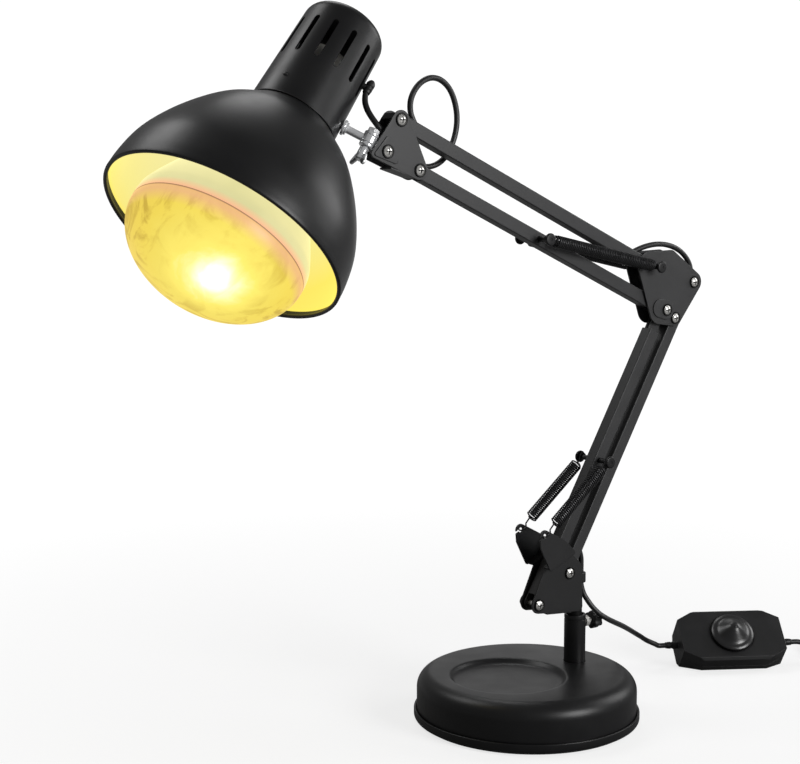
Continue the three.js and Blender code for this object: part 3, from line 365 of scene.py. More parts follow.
def lit_glass():
    """Front of the bulb: amber glass with a white hot spot, a rosy band by the ring and bronze streaks."""
    material, tree, shader = node_material("lit_bulb_front")
    warp = noise(tree, 34, Detail=4, Roughness=0.6, Distortion=1.4)
    soft = combine(tree, "MULTIPLY", warp, 0.020)
    near = combine(tree, "ADD", distance_from(tree, head_point(*HOT_SPOT)), soft)
    place = scaled(tree, near, 0.012, 0.095)
    colour = ramp(tree, place, (0.0, (1.0, 0.97, 0.80)), (0.12, (1.0, 0.93, 0.45)), (0.26, (1.0, 0.84, 0.16)),
                  (0.60, (0.98, 0.76, 0.11)), (1.0, (0.94, 0.67, 0.10)))
    mask = scaled(tree, noise(tree, 30, Detail=6, Roughness=0.55, Distortion=2.6), 0.48, 0.62)
    upper = combine(tree, "MULTIPLY", mask, scaled(tree, near, 0.035, 0.065))
    bronze = mixed(tree, combine(tree, "MULTIPLY", upper, 0.75), colour, (0.60, 0.40, 0.05))
    level = head_level(tree)
    band = combine(tree, "MULTIPLY", scaled(tree, level, -0.017, -0.009), 0.85)
    rosy = mixed(tree, band, bronze, (0.93, 0.52, 0.26))
    line = mixed(tree, scaled(tree, level, -0.0062, -0.0056), rosy, (0.42, 0.22, 0.12))
    strength = ramp(tree, place, (0.0, 1.0), (0.07, 0.62), (0.2, 0.355), (0.42, 0.305), (1.0, 0.285))
    glowing(tree, shader, line, combine(tree, "MULTIPLY", strength, 3.0), 0.10, 0.35)
    shader.inputs["Specular IOR Level"].default_value = 0.25
    return material


ENAMEL_PAINTED_GLOW = enamel_with_painted_glow()
REFLECTOR_PAINTED_GLOW = reflector_painted_glow()
LIT_GLASS = lit_glass()


# Mesh helpers
def make(name, vertices, faces, matrix=None):
    matrix = matrix or Matrix.Identity(4)
    mesh = bpy.data.meshes.new(name)
    mesh.from_pydata([(matrix @ Vector(v)) * MM for v in vertices], [], faces)
    return tidy(placed(name, mesh))


def smoothed(mesh):
    """Smooths all but the sharp edges."""
    mesh.shade_smooth()
    mesh.set_sharp_from_angle(angle=rad(SHARP_ANGLE))


def tidy(piece):
    """Welds doubled points, turns the faces outwards and smooths all but the sharp edges."""
    form = bmesh.new()
    form.from_mesh(piece.data)
    bmesh.ops.remove_doubles(form, verts=form.verts, dist=1e-6)
    bmesh.ops.recalc_face_normals(form, faces=form.faces)
    form.to_mesh(piece.data)
    form.free()
    smoothed(piece.data)
    return piece


def evaluated(piece):
    """The piece's shape as a mesh, with its modifiers applied."""
    bpy.context.view_layer.update()
    return bpy.data.meshes.new_from_object(piece.evaluated_get(bpy.context.evaluated_depsgraph_get()))


def modified(piece, kind, **settings):
    """Gives the piece a modifier and applies it."""
    modifier = piece.modifiers.new("step", kind)
    for key, value in settings.items():
        setattr(modifier, key, value)
    mesh = evaluated(piece)
    piece.modifiers.clear()
    piece.data = mesh
    return piece


def bevelled(piece, width, segments=2):
    return tidy(modified(piece, "BEVEL", width=width * MM, segments=segments, limit_method="ANGLE",
                         angle_limit=rad(BEVEL_ANGLE)))


def carved(piece, tools, operation="DIFFERENCE"):
    """Takes the tools out of the piece, or keeps only what they share with it."""
    for tool in tools:
        modified(piece, "BOOLEAN", operation=operation, object=tool, solver="EXACT")
        bpy.data.objects.remove(tool)
    return tidy(piece)


def flat(piece):
    """Keeps the flat faces of a bevelled piece flat to the eye."""
    return modified(piece, "WEIGHTED_NORMAL", keep_sharp=True, weight=80)


def merged(name, pieces):
    """Puts several meshes into one object."""
    form = bmesh.new()
    for piece in pieces:
        form.from_mesh(piece.data)
        bpy.data.objects.remove(piece)
    mesh = bpy.data.meshes.new(name)
    form.to_mesh(mesh)
    form.free()
    smoothed(mesh)
    return placed(name, mesh)


def dress(piece, material, body, *nodes, slot=None):
    """Gives the piece its material and its body, and hides the CAD nodes that it stands for. The slot is not
    used.
    """
    piece.data.materials.clear()
    piece.data.materials.append(material)
    if body:
        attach(piece, body)
    if nodes:
        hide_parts(*nodes)
    return piece


def around(centre, radius, angle):
    return centre[0] + radius * math.cos(angle), centre[1] + radius * math.sin(angle)


def ring(centre, radius, sides=32):
    return [around(centre, radius, TAU * k / sides) for k in range(sides)]


def arc(centre, radius, start, end, steps):
    return [around(centre, radius, rad(start + (end - start) * k / steps)) for k in range(steps + 1)]


def quads(rows, sides):
    """Faces between rows of points, each row a closed ring."""
    def corner(row, k):
        return row * sides + k % sides

    return [(corner(i, k), corner(i, k + 1), corner(i + 1, k + 1), corner(i + 1, k))
            for i in range(rows - 1) for k in range(sides)]


def lathe(name, profile, matrix=None, sides=64):
    """A turned piece about its own z. The profile is [radius, height], closed or on the axis at both ends."""
    vertices, rings = [], []
    for radius, height in profile:
        on_axis = radius < 1e-6
        rings.append([len(vertices) + (0 if on_axis else k) for k in range(sides)])
        vertices += [(0, 0, height)] if on_axis else [(*p, height) for p in ring((0, 0), radius, sides)]
    faces = []
    for a, b in zip(rings, rings[1:]):
        for k in range(sides):
            n = (k + 1) % sides
            face = list(dict.fromkeys((a[k], a[n], b[n], b[k])))
            if len(face) > 2:
                faces.append(face)
    return make(name, vertices, faces, matrix)


def rod(radius, low, high, matrix, sides=24):
    """A plain cylinder."""
    return lathe("rod", [(0, low), (radius, low), (radius, high), (0, high)], matrix, sides)


def sleeve(inner, outer, low, high, soft, matrix):
    """A short tube with its outer edges rounded."""
    profile = [(inner, low), (outer, low), (outer, high), (inner, high), (inner, low)]
    return lathe("sleeve", rounded(profile, {1: soft, 2: soft}), matrix, 40)


def rounded(points, radii, steps=4):
    """A profile with its corners rounded: radii holds corner number and radius."""
    result = []
    for i, point in enumerate(points):
        if i not in radii:
            result.append(point)
            continue
        here, before, after = (Vector((*points[n % len(points)], 0)) for n in (i, i - 1, i + 1))
        a = here + (before - here).normalized() * radii[i]
        b = here + (after - here).normalized() * radii[i]
        for k in range(steps + 1):
            t = k / steps
            q = a * (1 - t) ** 2 + here * (2 * t * (1 - t)) + b * t * t
            result.append((q.x, q.y))
    return result


def outline(circles, step=6):
    """The outline round a ring of circles (x, y, radius), given anticlockwise."""
    def tangent(a, b):
        dx, dy = b[0] - a[0], b[1] - a[1]
        return math.atan2(dy, dx) - math.acos((a[2] - b[2]) / math.hypot(dx, dy))

    points = []
    for i, circle in enumerate(circles):
        start = tangent(circles[i - 1], circle)
        sweep = (tangent(circle, circles[(i + 1) % len(circles)]) - start) % TAU
        if sweep > rad(359):
            sweep = 0
        count = max(1, round(sweep / rad(step)))
        points += [around(circle, circle[2], start + sweep * k / count) for k in range(count + 1)]
    return points


def plate(name, outer, holes, low, high, matrix, bevel=0.25):
    """A flat plate with rounded edges: outlines in its own x and y, between two heights."""
    curve = bpy.data.curves.new(name, "CURVE")
    curve.dimensions = "2D"
    curve.fill_mode = "BOTH"
    curve.extrude = (high - low) / 2 - bevel
    curve.bevel_depth = bevel
    curve.bevel_resolution = 1
    curve.offset = -bevel
    for points in [outer, *holes]:
        spline = curve.splines.new("POLY")
        spline.points.add(len(points) - 1)
        for point, (x, y) in zip(spline.points, points):
            point.co = (x, y, 0, 1)
        spline.use_cyclic_u = True
    shape = placed(name, curve)
    mesh = evaluated(shape)
    bpy.data.objects.remove(shape)
    mesh.transform(Matrix.Diagonal((MM, MM, MM, 1)) @ matrix @ at(0, 0, (low + high) / 2))
    return tidy(placed(name, mesh))


def block(name, size, matrix, bevel=0, segments=2):
    x, y, z = (s / 2 for s in size)
    corners = [(i, j, k) for i in (-x, x) for j in (-y, y) for k in (-z, z)]
    faces = [(0, 1, 3, 2), (4, 6, 7, 5), (0, 4, 5, 1), (2, 3, 7, 6), (0, 2, 6, 4), (1, 5, 7, 3)]
    piece = make(name, corners, faces, matrix)
    return bevelled(piece, bevel, segments) if bevel else piece


def prism(name, points, low, high, matrix, bevel=0, segments=2):
    """A straight prism on an outline in its own x and y."""
    count = len(points)
    vertices = [(x, y, z) for z in (low, high) for x, y in points]
    faces = [list(range(count))[::-1], list(range(count, 2 * count))]
    faces += [(k, (k + 1) % count, count + (k + 1) % count, count + k) for k in range(count)]
    piece = make(name, vertices, faces, matrix)
    return bevelled(piece, bevel, segments) if bevel else piece


def smooth_line(points, count):
    """Centripetal Catmull-Rom curve through the points, as in the CAD source."""
    pts = [Vector(p) for p in points]
    last = len(pts) - 1
    line = []
    for i in range(count + 1):
        place = last * i / count
        k = min(int(place), last - 1)
        w = place - k
        b, c = pts[k], pts[k + 1]
        a = pts[k - 1] if k > 0 else b * 2 - c
        d = pts[k + 2] if k + 2 <= last else c * 2 - b
        d0, d1, d2 = ((q - p).length ** 0.5 or 1e-4 for p, q in ((a, b), (b, c), (c, d)))
        t1 = ((b - a) / d0 - (c - a) / (d0 + d1) + (c - b) / d1) * d1
        t2 = ((c - b) / d1 - (d - b) / (d1 + d2) + (d - c) / d2) * d1
        line.append(b + t1 * w + (3 * (c - b) - 2 * t1 - t2) * w * w + (2 * (b - c) + t1 + t2) * w ** 3)
    return line


def tube(name, line, radius, sides=12):
    """A round tube through a dense row of points, with flat ends."""
    vertices, side = [], None
    for i, point in enumerate(line):
        along = (line[min(i + 1, len(line) - 1)] - line[max(i - 1, 0)]).normalized()
        if side is None:
            side = along.orthogonal().normalized()
        side = (side - along * side.dot(along)).normalized()
        other = along.cross(side)
        vertices += [point + side * x + other * y for x, y in ring((0, 0), radius, sides)]
    ends = [list(range(sides))[::-1], list(range(len(vertices) - sides, len(vertices)))]
    return make(name, vertices, quads(len(line), sides) + ends)


# Free cord and the cables on the lamp
def cable(name, line, body_a, body_b, start, end, *nodes):
    """A cable tube along the line. The bodies and the points between which it would blend are not used."""
    piece = dress(tube(name, line, CORD_RADIUS), PVC, None, *nodes)
    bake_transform(piece)
    return piece


def dimmer_end(side, beyond):
    return DIMMER @ Vector((side * (DIMMER_LENGTH / 2 + COLLAR + GAP + beyond), 0, 0))


def coil_line(per_turn=36):
    """A flat spiral inwards and, a layer higher, outwards again, with a short straight at both ends."""
    line = []
    for i in range(round(per_turn * (2 * COIL_TURNS + 0.5)) + 1):
        turn = i / per_turn
        climb = min(1, max(0, (turn - COIL_TURNS) / 0.5))
        inward = min(turn, COIL_TURNS + 0.25)
        outward = max(0, turn - COIL_TURNS - 0.25)
        radius = COIL_OUTER - COIL_PITCH * (inward - outward)
        line.append(Vector((*around(COIL_CENTRE, radius, TAU * turn - math.pi / 2),
                            CORD_RADIUS + COIL_PITCH * climb)))
    straight = 2 * CORD_RADIUS
    start = line[0] + (line[0] - line[1]).normalized() * straight
    end = line[-1] + (line[-1] - line[-2]).normalized() * straight
    return [start, *line, end]


def cord_line():
    """From the clip through the dimmer's housing and on round the coil to the plug."""
    lead = [(CLIP_X, 0, CLIP_TOP - CLIP_HEIGHT - GAP), (54, -0.5, 92.6), (55.2, -1.6, 87.8),
            (57.3, -3.7, 82.8), (60.4, -6.5, 77.3), (65.1, -9.2, 72), (71.6, -10.5, 67.5), (79, -9.2, 63.7),
            (87.6, -4.4, 59.8), (97.7, 2.5, 55.4), (109, 10.6, 50.4), LEAD_LANDS, (134, 28.5, 38.9),
            (145.4, 34.8, 33.1), (155.2, 38.3, 27.8), (163.6, 39.9, 22.8), (171.8, 38.1, 18.6),
            dimmer_end(-1, 6), dimmer_end(-1, 0)]
    coil = coil_line()
    back = (coil[0] - coil[1]).normalized()
    tail = [dimmer_end(1, 0), dimmer_end(1, 6), (286, -27.4, 14.8), (292, -33.6, 11.4), (296, -41, 8),
            (299, -49, 5), (303.6, -56.2, 3), (309.8, -61, 2.2), (317.5, -63.2, CORD_RADIUS),
            coil[0] + back * 5, coil[0] + back * 0.5]
    inside = [Vector(between(lead[-1], tail[0], k / 30)) for k in range(1, 30)]
    return smooth_line(lead, 120) + inside + smooth_line(tail, 90) + coil


def add_supply_cord():
    line = cord_line()
    piece = cable("supply_cord", line, "swivel", "base", line[0], LEAD_LANDS, "cord_lead", "cord_tail",
                  "cord_coil")
    return piece, line


# Fasteners
def cross_recess(depth, top, matrix):
    return [block("recess", (4.2, 1.0, 2 * depth), matrix @ at(0, 0, top) @ spin(angle, "Z"))
            for angle in (0, 90)]


def pan_head(radius, height):
    bulge = (radius * radius + height * height) / (2 * height)
    centre = height - bulge
    edge = math.degrees(math.asin(min(1, (0.45 - centre) / bulge)))
    dome = arc((0, centre), bulge, edge, 90, 8)[:-1]
    return [(0, 0), (radius - 0.25, 0), (radius, 0.25), *dome, (0, height)]


def fastener(name, pivot, body, node, lift=0.0, far=None):
    """Pan-head screw from the near side, with a washer under its head and a lock nut on the far side."""
    near = SCREW_AT + lift
    far = far or near
    place = at_pivot(pivot)
    head = lathe("head", pan_head(SCREW_HEAD, SCREW_DOME), place @ at(0, 0, near), 40)
    carved(head, cross_recess(1.1, near + SCREW_DOME, place))
    end = -far - 3.9
    shank = [(0, end), (1.5, end), (2, end + 0.5), (2, near + 0.3), (0, near + 0.3)]
    dress(merged(name, [head, lathe("shank", shank, place, 24)]), SCREW, body, node)
    # A dark cross sunk into the cross recess: painted shade.
    dress(merged(f"{name}_recess", cross_recess(0.35, near + 0.85, place)), DARK_STEEL_AND_SHADE, body)
    rim = [(2.1, near - 0.3), (4.7, near - 0.3), (4.8, near + 0.4), (4.5, near + 0.8), (3.7, near + 0.8),
           (3.5, near + 0.1), (2.1, near + 0.1), (2.1, near - 0.3)]
    dress(lathe(f"{name}_washer", rim, place, 40), DARK_STEEL_AND_SHADE, body)
    if far > 0:
        dress(hex_nut(f"{name}_nut", 4.3, NUT_HEIGHT, place @ at(0, 0, -far - NUT_HEIGHT)), PAINT, body)


def hex_nut(name, radius, height, matrix):
    corner = radius / math.cos(rad(30))
    body = prism(name, ring((0, 0), corner, 6), 0, height, matrix)
    cone = lathe("cone", [(0, -0.1), (radius, -0.1), (corner + 0.1, 0.5), (corner + 0.1, height - 0.5),
                          (radius, height + 0.1), (0, height + 0.1)], matrix, 48)
    carved(body, [cone], "INTERSECT")
    return carved(body, [rod(2.1, -1, height + 1, matrix)])


def spring_pin(name, pivot, body, node):
    """Pin across a bar with a round cap on each end that keeps the spring's hook on."""
    reach = SPRING_SIDE + 2.2
    half = [(2, 0), (2, reach), (4.4, reach), (4.6, reach + 0.3), (4.6, reach + 1.1),
            *arc((3.5, reach + 1.1), 1.1, 0, 90, 4)[1:], (1.2, reach + 2.2), (0.9, reach + 1.9),
            (0, reach + 1.9)]
    profile = [(r, -h) for r, h in half[::-1]] + half[1:]
    dress(lathe(name, profile, at_pivot(pivot), 32), PAINT, body, node)


def thread(start, end, radius, pitch):
    points = []
    height = start
    while height < end - pitch:
        points += [(radius - 0.28, height), (radius, height + pitch / 2)]
        height += pitch
    return points


# Base and post
def add_base():
    top = BASE_HEIGHT
    dish = [(44.7, 0), (43.9, -0.15), (43.1, -0.7), (41.9, -2.0), (40.6, -3.1), (38.6, -3.8),
            (36, -DISH_DEPTH), (18, -DISH_DEPTH)]
    shell = [(81.5, 3.6), (82.8, 3.6), (82.8, 14), *arc((70.8, top - 12), 12, 0, 90, 12)]
    rows = [(p, 0) for p in shell] + [((46.5, top), DISH_X)] + [((r, top + h), DISH_X) for r, h in dish]
    vertices = [(*p, height) for (radius, height), x in rows for p in ring((x, 0), radius, BASE_SIDES)]
    vertices.append((DISH_X, 0, top - DISH_DEPTH))
    last = (len(rows) - 1) * BASE_SIDES
    centre = [(last + k, last + (k + 1) % BASE_SIDES, len(vertices) - 1) for k in range(BASE_SIDES)]
    cover = make("cover_shell", vertices, quads(len(rows), BASE_SIDES) + centre)
    tidy(modified(cover, "SOLIDIFY", thickness=1.3 * MM, offset=-1))
    carved(cover, [rod(8.6, 20, 44, at(POST_X), 64)])
    dress(cover, PAINT, "base", "base_cover")
    tray = rounded([(0, 1.5), (83.6, 1.5), (85, 2.9), (85, 8.5), (83.2, 8.5), (83.2, 3.3), (0, 3.3)],
                   {1: 1.1, 2: 1.1, 3: 0.7, 4: 0.6})
    dress(lathe("tray", tray, sides=BASE_SIDES), PAINT, "base", "base_tray")
    pad = rounded([(0, 0), (81, 0), (81, 1.2), (0, 1.2)], {1: 0.4, 2: 0.4})
    dress(lathe("pad", pad, sides=BASE_SIDES), RUBBER, "base", "base_pad")


def add_post():
    top = POST_TOP
    profile = [(6.65, 4), (8.25, 4), (8.25, top - 4.2), (7.9, top - 3.9), (7.9, top - 3.3), (8.25, top - 3),
               (8.25, top), (6.65, top), (6.65, 4)]
    post = lathe("post", rounded(profile, {1: 0.4, 6: 0.5, 7: 0.4}), at(POST_X), 64)
    carved(post, [rod(2.6, 5, 10, at(POST_X, 0, LOCK_HEIGHT) @ ALONG_X)])
    dress(post, PAINT, "base", "post_tube")
    pin = lathe("pin", [(0, 32), (5, 32), (5.3, 32.4), (5.3, 78.4), (0, 78.4)], at(POST_X), 48)
    head = block("pivot_head", (9.6, 10.6, 14), at(POST_X - 1.9, 0, 85.3), 0.6)
    dress(merged("pivot_post", [pin, head]), DARK_STEEL_AND_SHADE, "swivel", "swivel_pin")


def add_lock():
    place, low = at(POST_X, 0, LOCK_HEIGHT) @ ALONG_X, 5.65
    shank = [(0, low), (1.8, low), *thread(low + 0.4, 8.9, 2.2, 0.8), (2.2, 8.9), (4.2, 8.9), (4.2, 12.2),
             (2.2, 12.2), (2.2, 15.4), (0, 15.4)]
    dress(lathe("lock_screw", shank, place, 32), SCREW, "lock", "lock_screw_shank")
    angles = [TAU * k / 72 for k in range(72)]
    lobes = [around((0, 0), 6.55 + 0.55 * math.cos(6 * angle), angle) for angle in angles]
    knob = prism("lock_knob_body", lobes, 15.7, 23.2, place, 1.0, 3)
    dish = lathe("knob_dish", [(0, 22.4), (3.6, 22.4), (4.4, 23.6), (0, 23.6)], place, 32)
    dress(carved(knob, [dish]), PLASTIC, "lock", "lock_knob")


# Arms
def aligned(point, start, end, y=0.0):
    """A frame at a point of the arm plane, with x pointing from start to end."""
    turn = math.atan2(end[1] - start[1], end[0] - start[0])
    return at(point[0], y, point[1]) @ Matrix.Rotation(-turn, 4, "Y")


def web(a, b, low=WEB_INSET - PLATE_OUTSIDE, high=PLATE_OUTSIDE - WEB_INSET):
    """A flat web seen edge-on in the arm plane, from a to b, between two values of y."""
    place = aligned(between(a, b, 0.5), a, b, (low + high) / 2)
    return block("web", (math.dist(a, b), high - low, PLATE), place, 0.3)


def side_plates(outer, holes, low=PLATE_INSIDE, high=PLATE_OUTSIDE, matrix=ARM, bevel=0.25):
    """The same plate on the near side and on the far side, with a pivot hole at each point of holes."""
    rings = [ring(p, PIN_HOLE) for p in holes]
    return [plate("side", outer, rings, a, b, matrix, bevel) for a, b in ((low, high), (-high, -low))]


def add_lower_bracket():
    main = outline([(*FRONT_FOOT, 6.6), (45.5, 80.4, 3.8), (REAR_FOOT[0] + 4, REAR_FOOT[1] + 2, 8),
                    (32, 124.5, 2.2), (13.5, 114.5, 2.2)])
    parts = side_plates(main, [FRONT_FOOT, REAR_FOOT])
    x, z = SPRING_EAR
    hooked = outline([(x, z, 4.6), (2.5, 133, 2), (11.5, 116, 2), (32.5, 125.5, 2), (22, 134, 3)])
    ear = SPRING_SIDE + PLATE / 2
    for low, high in ((ear - PLATE, ear), (-ear, PLATE - ear)):
        piece = plate("ear", hooked, [ring(SPRING_EAR, 1.9)], low, high, ARM)
        parts.append(carved(piece, [block("notch", (6, 40, 1.9), at(x - 3.4, 0, z - 1.1) @ spin(-28, "Y"))]))
    inside, outside = PLATE_INSIDE + WEB_INSET, ear - WEB_INSET
    for low, high in ((-outside, -inside), (inside, outside)):
        parts.append(web((10.5, 115.2), (33.5, 125.6), low, high))
    parts.append(web((14, 79.4), (38.5, 77.4)))
    dress(flat(merged("lower_bracket_plates", parts)), PAINT_PAINTED_LIGHT_FOOT, "swivel", "lower_bracket")
    fastener("screw_front_foot", FRONT_FOOT, "swivel", "lower_bolt_front")
    fastener("screw_rear_foot", REAR_FOOT, "swivel", "lower_bolt_rear")
    top, bottom = CLIP_TOP, CLIP_TOP - CLIP_HEIGHT
    arm = block("clip_block", (7, 10.6, CLIP_HEIGHT), at(CLIP_X - 6.5, 0, (top + bottom) / 2), 0.8)
    eye = sleeve(2.4, 3.8, bottom, top, 0.8, at(CLIP_X))
    carved(arm, [rod(2.5, bottom - 2, top + 2, at(CLIP_X), 40)])
    dress(flat(merged("clip", [arm, eye])), PLASTIC, "swivel", "cord_clip")


def rounded_square(half, radius):
    points = []
    for k, (x, y) in enumerate(((1, -1), (1, 1), (-1, 1), (-1, -1))):
        points += arc((x * (half - radius), y * (half - radius)), radius, -90 + 90 * k, 90 * k, 4)
    return points


# Ends of a bar: reach, radius, and the values of y between which each ear lies
PLAIN_EAR = (6, 4.9, 3.6, 4.9)
FORK_EAR = (FORK_LENGTH, 4.9, 3.0, 4.9)
TONGUE_EAR = (FORK_LENGTH, 4.7, 0.8, 2.4)


def bar(name, start, end, ears, body, node, holes=(), slots=()):
    """A square tube with two rounded ears at each end, drilled for its pivots and slotted for cable."""
    length, half = math.dist(start, end), BAR_WIDTH / 2
    place = aligned(start, start, end)
    outer, inner = rounded_square(half, 0.9), rounded_square(half - 1.2, 0.3)
    low, high = ears[0][0], length - ears[1][0]
    vertices = [(x, y, z) for x in (low, high) for loop in (outer, inner) for y, z in loop]
    count = len(outer)
    faces = []
    for k in range(count):
        n = (k + 1) % count
        faces += [(k, n, 2 * count + n, 2 * count + k), (count + k, 3 * count + k, 3 * count + n, count + n),
                  (k, count + k, count + n, n),
                  (2 * count + k, 2 * count + n, 3 * count + n, 3 * count + k)]
    tools = [block("slot", (b - a, 5.2, 5), place @ at((a + b) / 2, 0, side * half), 1.2, 3)
             for a, b, side in slots]
    tools += [rod(PIN_HOLE, -9, 9, place @ at(x) @ ARM) for x in holes]
    parts = [carved(make("tube", vertices, faces, place), tools)]
    for x, inward, (reach, radius, near, far) in ((0, 1, ears[0]), (length, -1, ears[1])):
        ear = outline([(x, 0, radius), (x + inward * (reach + 5), 0, radius)])
        parts += side_plates(ear, [(x, 0)], near, far, place @ ARM, 0.2)
    dress(flat(merged(name, parts)), PAINT_PAINTED_LIGHT_ARMS, body, node)


def hook(centre, way, other, size, start, end):
    return [centre + way * x + other * y for x, y in arc((0, 0), size, start, end, CURL_POINTS)]


def add_springs(name, ends, hooks, span):
    """Two close-wound pull springs. A hook is (radius, plane, offset): plane 0 lies in the arm plane."""
    (size_a, plane_a, offset_a), (size_b, plane_b, offset_b) = hooks
    steps = round((span[1] - span[0]) / SPRING_PITCH) * CURL_POINTS
    for side, node in ((-1, f"{name}_near"), (1, f"{name}_far")):
        a, b = (Vector((x, side * SPRING_SIDE, z)) for x, z in ends)
        along, across = (b - a).normalized(), Vector((0, 1, 0))
        up = along.cross(across)
        line = hook(a + along * offset_a, along, across if plane_a else up, size_a, -250, -40)
        line.append(a + along * (offset_a + size_a + 1.2))
        for i in range(steps + 1):
            ease = min(1, (i + 3) / 14, (steps - i + 3) / 14)
            x, y = around((0, 0), SPRING_RADIUS * ease, TAU * i / CURL_POINTS)
            line.append(a + along * (span[0] + (span[1] - span[0]) * i / steps) + across * y + up * x)
        line.append(b - along * (offset_b + size_b + 1.2))
        line += hook(b - along * offset_b, -along, across if plane_b else up, size_b, 40, 250)
        piece = dress(tube(f"{node}_coil", line, SPRING_WIRE, 8), WIRE, None, node)
        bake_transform(piece)


def add_lower_arm():
    bar("front_bar_tube", FRONT_FOOT, FRONT_TOP, (PLAIN_EAR, TONGUE_EAR), "front_bar", "lower_front_bar",
        [math.dist(FRONT_FOOT, LOWER_SPRING_PIN)])
    bar("rear_bar_tube", REAR_FOOT, REAR_TOP, (PLAIN_EAR, PLAIN_EAR), "rear_bar", "lower_rear_bar", (),
        [(13, 27, -1)])
    spring_pin("lower_pin", LOWER_SPRING_PIN, "front_bar", "lower_spring_pin")
    ends = SPRING_EAR, LOWER_SPRING_PIN
    add_springs("lower_spring", ends, ((3.1, 1, 2.6), (2.8, 0, 0)), (13, math.dist(*ends) - 7))


def add_elbow():
    front_x, front_z = FRONT_TOP
    main = outline([(FRICTION_SCREW[0], FRICTION_SCREW[1] + 0.4, 6.8), (*REAR_TOP, 8), (136, 343, 7),
                    (TOP_BAR_FOOT[0] - 2.8, TOP_BAR_FOOT[1], 11.5), (front_x - 6.3, front_z, 11)])
    holes = [ring(p, PIN_HOLE) for p in (FRONT_TOP, REAR_TOP, TOP_BAR_FOOT)]
    near = plate("near", main, [*holes, ring(FRICTION_SCREW, PIN_HOLE)], PLATE_INSIDE, PLATE_OUTSIDE, ARM)
    far = plate("far", main, holes, -PLATE_OUTSIDE, -PLATE_INSIDE, ARM)
    raised = outline([(front_x, front_z, 7.6), (front_x - 7, front_z + 1.5, 7.2)])
    parts = [near, far, *side_plates(raised, [FRONT_TOP], PLATE_OUTSIDE - 0.4, PLATE_OUTSIDE + 1),
             web((118, 347.1), (142, 340.2))]
    dress(flat(merged("elbow_plates", parts)), PAINT_PAINTED_LIGHT_ARMS, "elbow", "elbow_bracket")
    fastener("screw_front_top", FRONT_TOP, "elbow", "elbow_bolt_front", 1)
    fastener("screw_rear_top", REAR_TOP, "elbow", "elbow_bolt_rear")
    fastener("screw_friction", FRICTION_SCREW, "elbow", "elbow_friction_screw", far=-9.3)
    spring_pin("elbow_pin", TOP_BAR_FOOT, "elbow", "elbow_spring_pin")


def add_upper_arm():
    length = math.dist(TOP_BAR_FOOT, TOP_BAR_END)
    bar("top_bar_tube", TOP_BAR_FOOT, TOP_BAR_END, (PLAIN_EAR, PLAIN_EAR), "top_bar", "upper_top_bar", (),
        [(7, 24, -1), (length - 28, length - 10, -1)])
    bar("bottom_bar_tube", FRONT_TOP, BOTTOM_BAR_END, (FORK_EAR, PLAIN_EAR), "bottom_bar", "upper_bottom_bar",
        [math.dist(FRONT_TOP, UPPER_SPRING_PIN)])
    spring_pin("upper_pin", UPPER_SPRING_PIN, "bottom_bar", "upper_spring_pin")
    ends = TOP_BAR_FOOT, UPPER_SPRING_PIN
    add_springs("upper_spring", ends, ((2.8, 0, 0), (2.8, 0, 0)), (7, math.dist(*ends) - 7))


def add_head_bracket():
    (x, z), (top_x, top_z), (end_x, end_z) = KNUCKLE_PIVOT, TOP_BAR_END, BOTTOM_BAR_END
    main = outline([(end_x, end_z, 6.6), (top_x, top_z, 6.6), (x - 9.6, z - 1.4, 3)])
    raised = outline([(x + 7, z - 6.5, 1.8), (x + 0.5, z + 8.5, 1.8), (x - 8.5, z - 1.5, 1.8)])
    near, far = side_plates(main, [BOTTOM_BAR_END, TOP_BAR_END, KNUCKLE_PIVOT])
    bosses = side_plates(raised, [KNUCKLE_PIVOT], PLATE_OUTSIDE - 0.5, PLATE_OUTSIDE + 0.9)
    carved(far, [rod(3.3, 5, 8, at(LOOP_HOLE[0], 0, LOOP_HOLE[1]) @ FAR_SIDE, 32)])
    webs = [web((top_x - 4.1, top_z + 4.5), (top_x - 7.3, top_z + 0.5)),
            web((end_x - 3, end_z - 4.9), (end_x - 24, end_z + 1.4))]
    dress(flat(merged("head_plates", [near, far, *bosses, *webs])), PAINT_PAINTED_LIGHT_ARMS, "wrist", "head_bracket")
    fastener("screw_head_top", TOP_BAR_END, "wrist", "head_bolt_top")
    fastener("screw_head_bottom", BOTTOM_BAR_END, "wrist", "head_bolt_bottom")
    fastener("screw_head_pivot", KNUCKLE_PIVOT, "wrist", "head_pivot_bolt", 0.9)


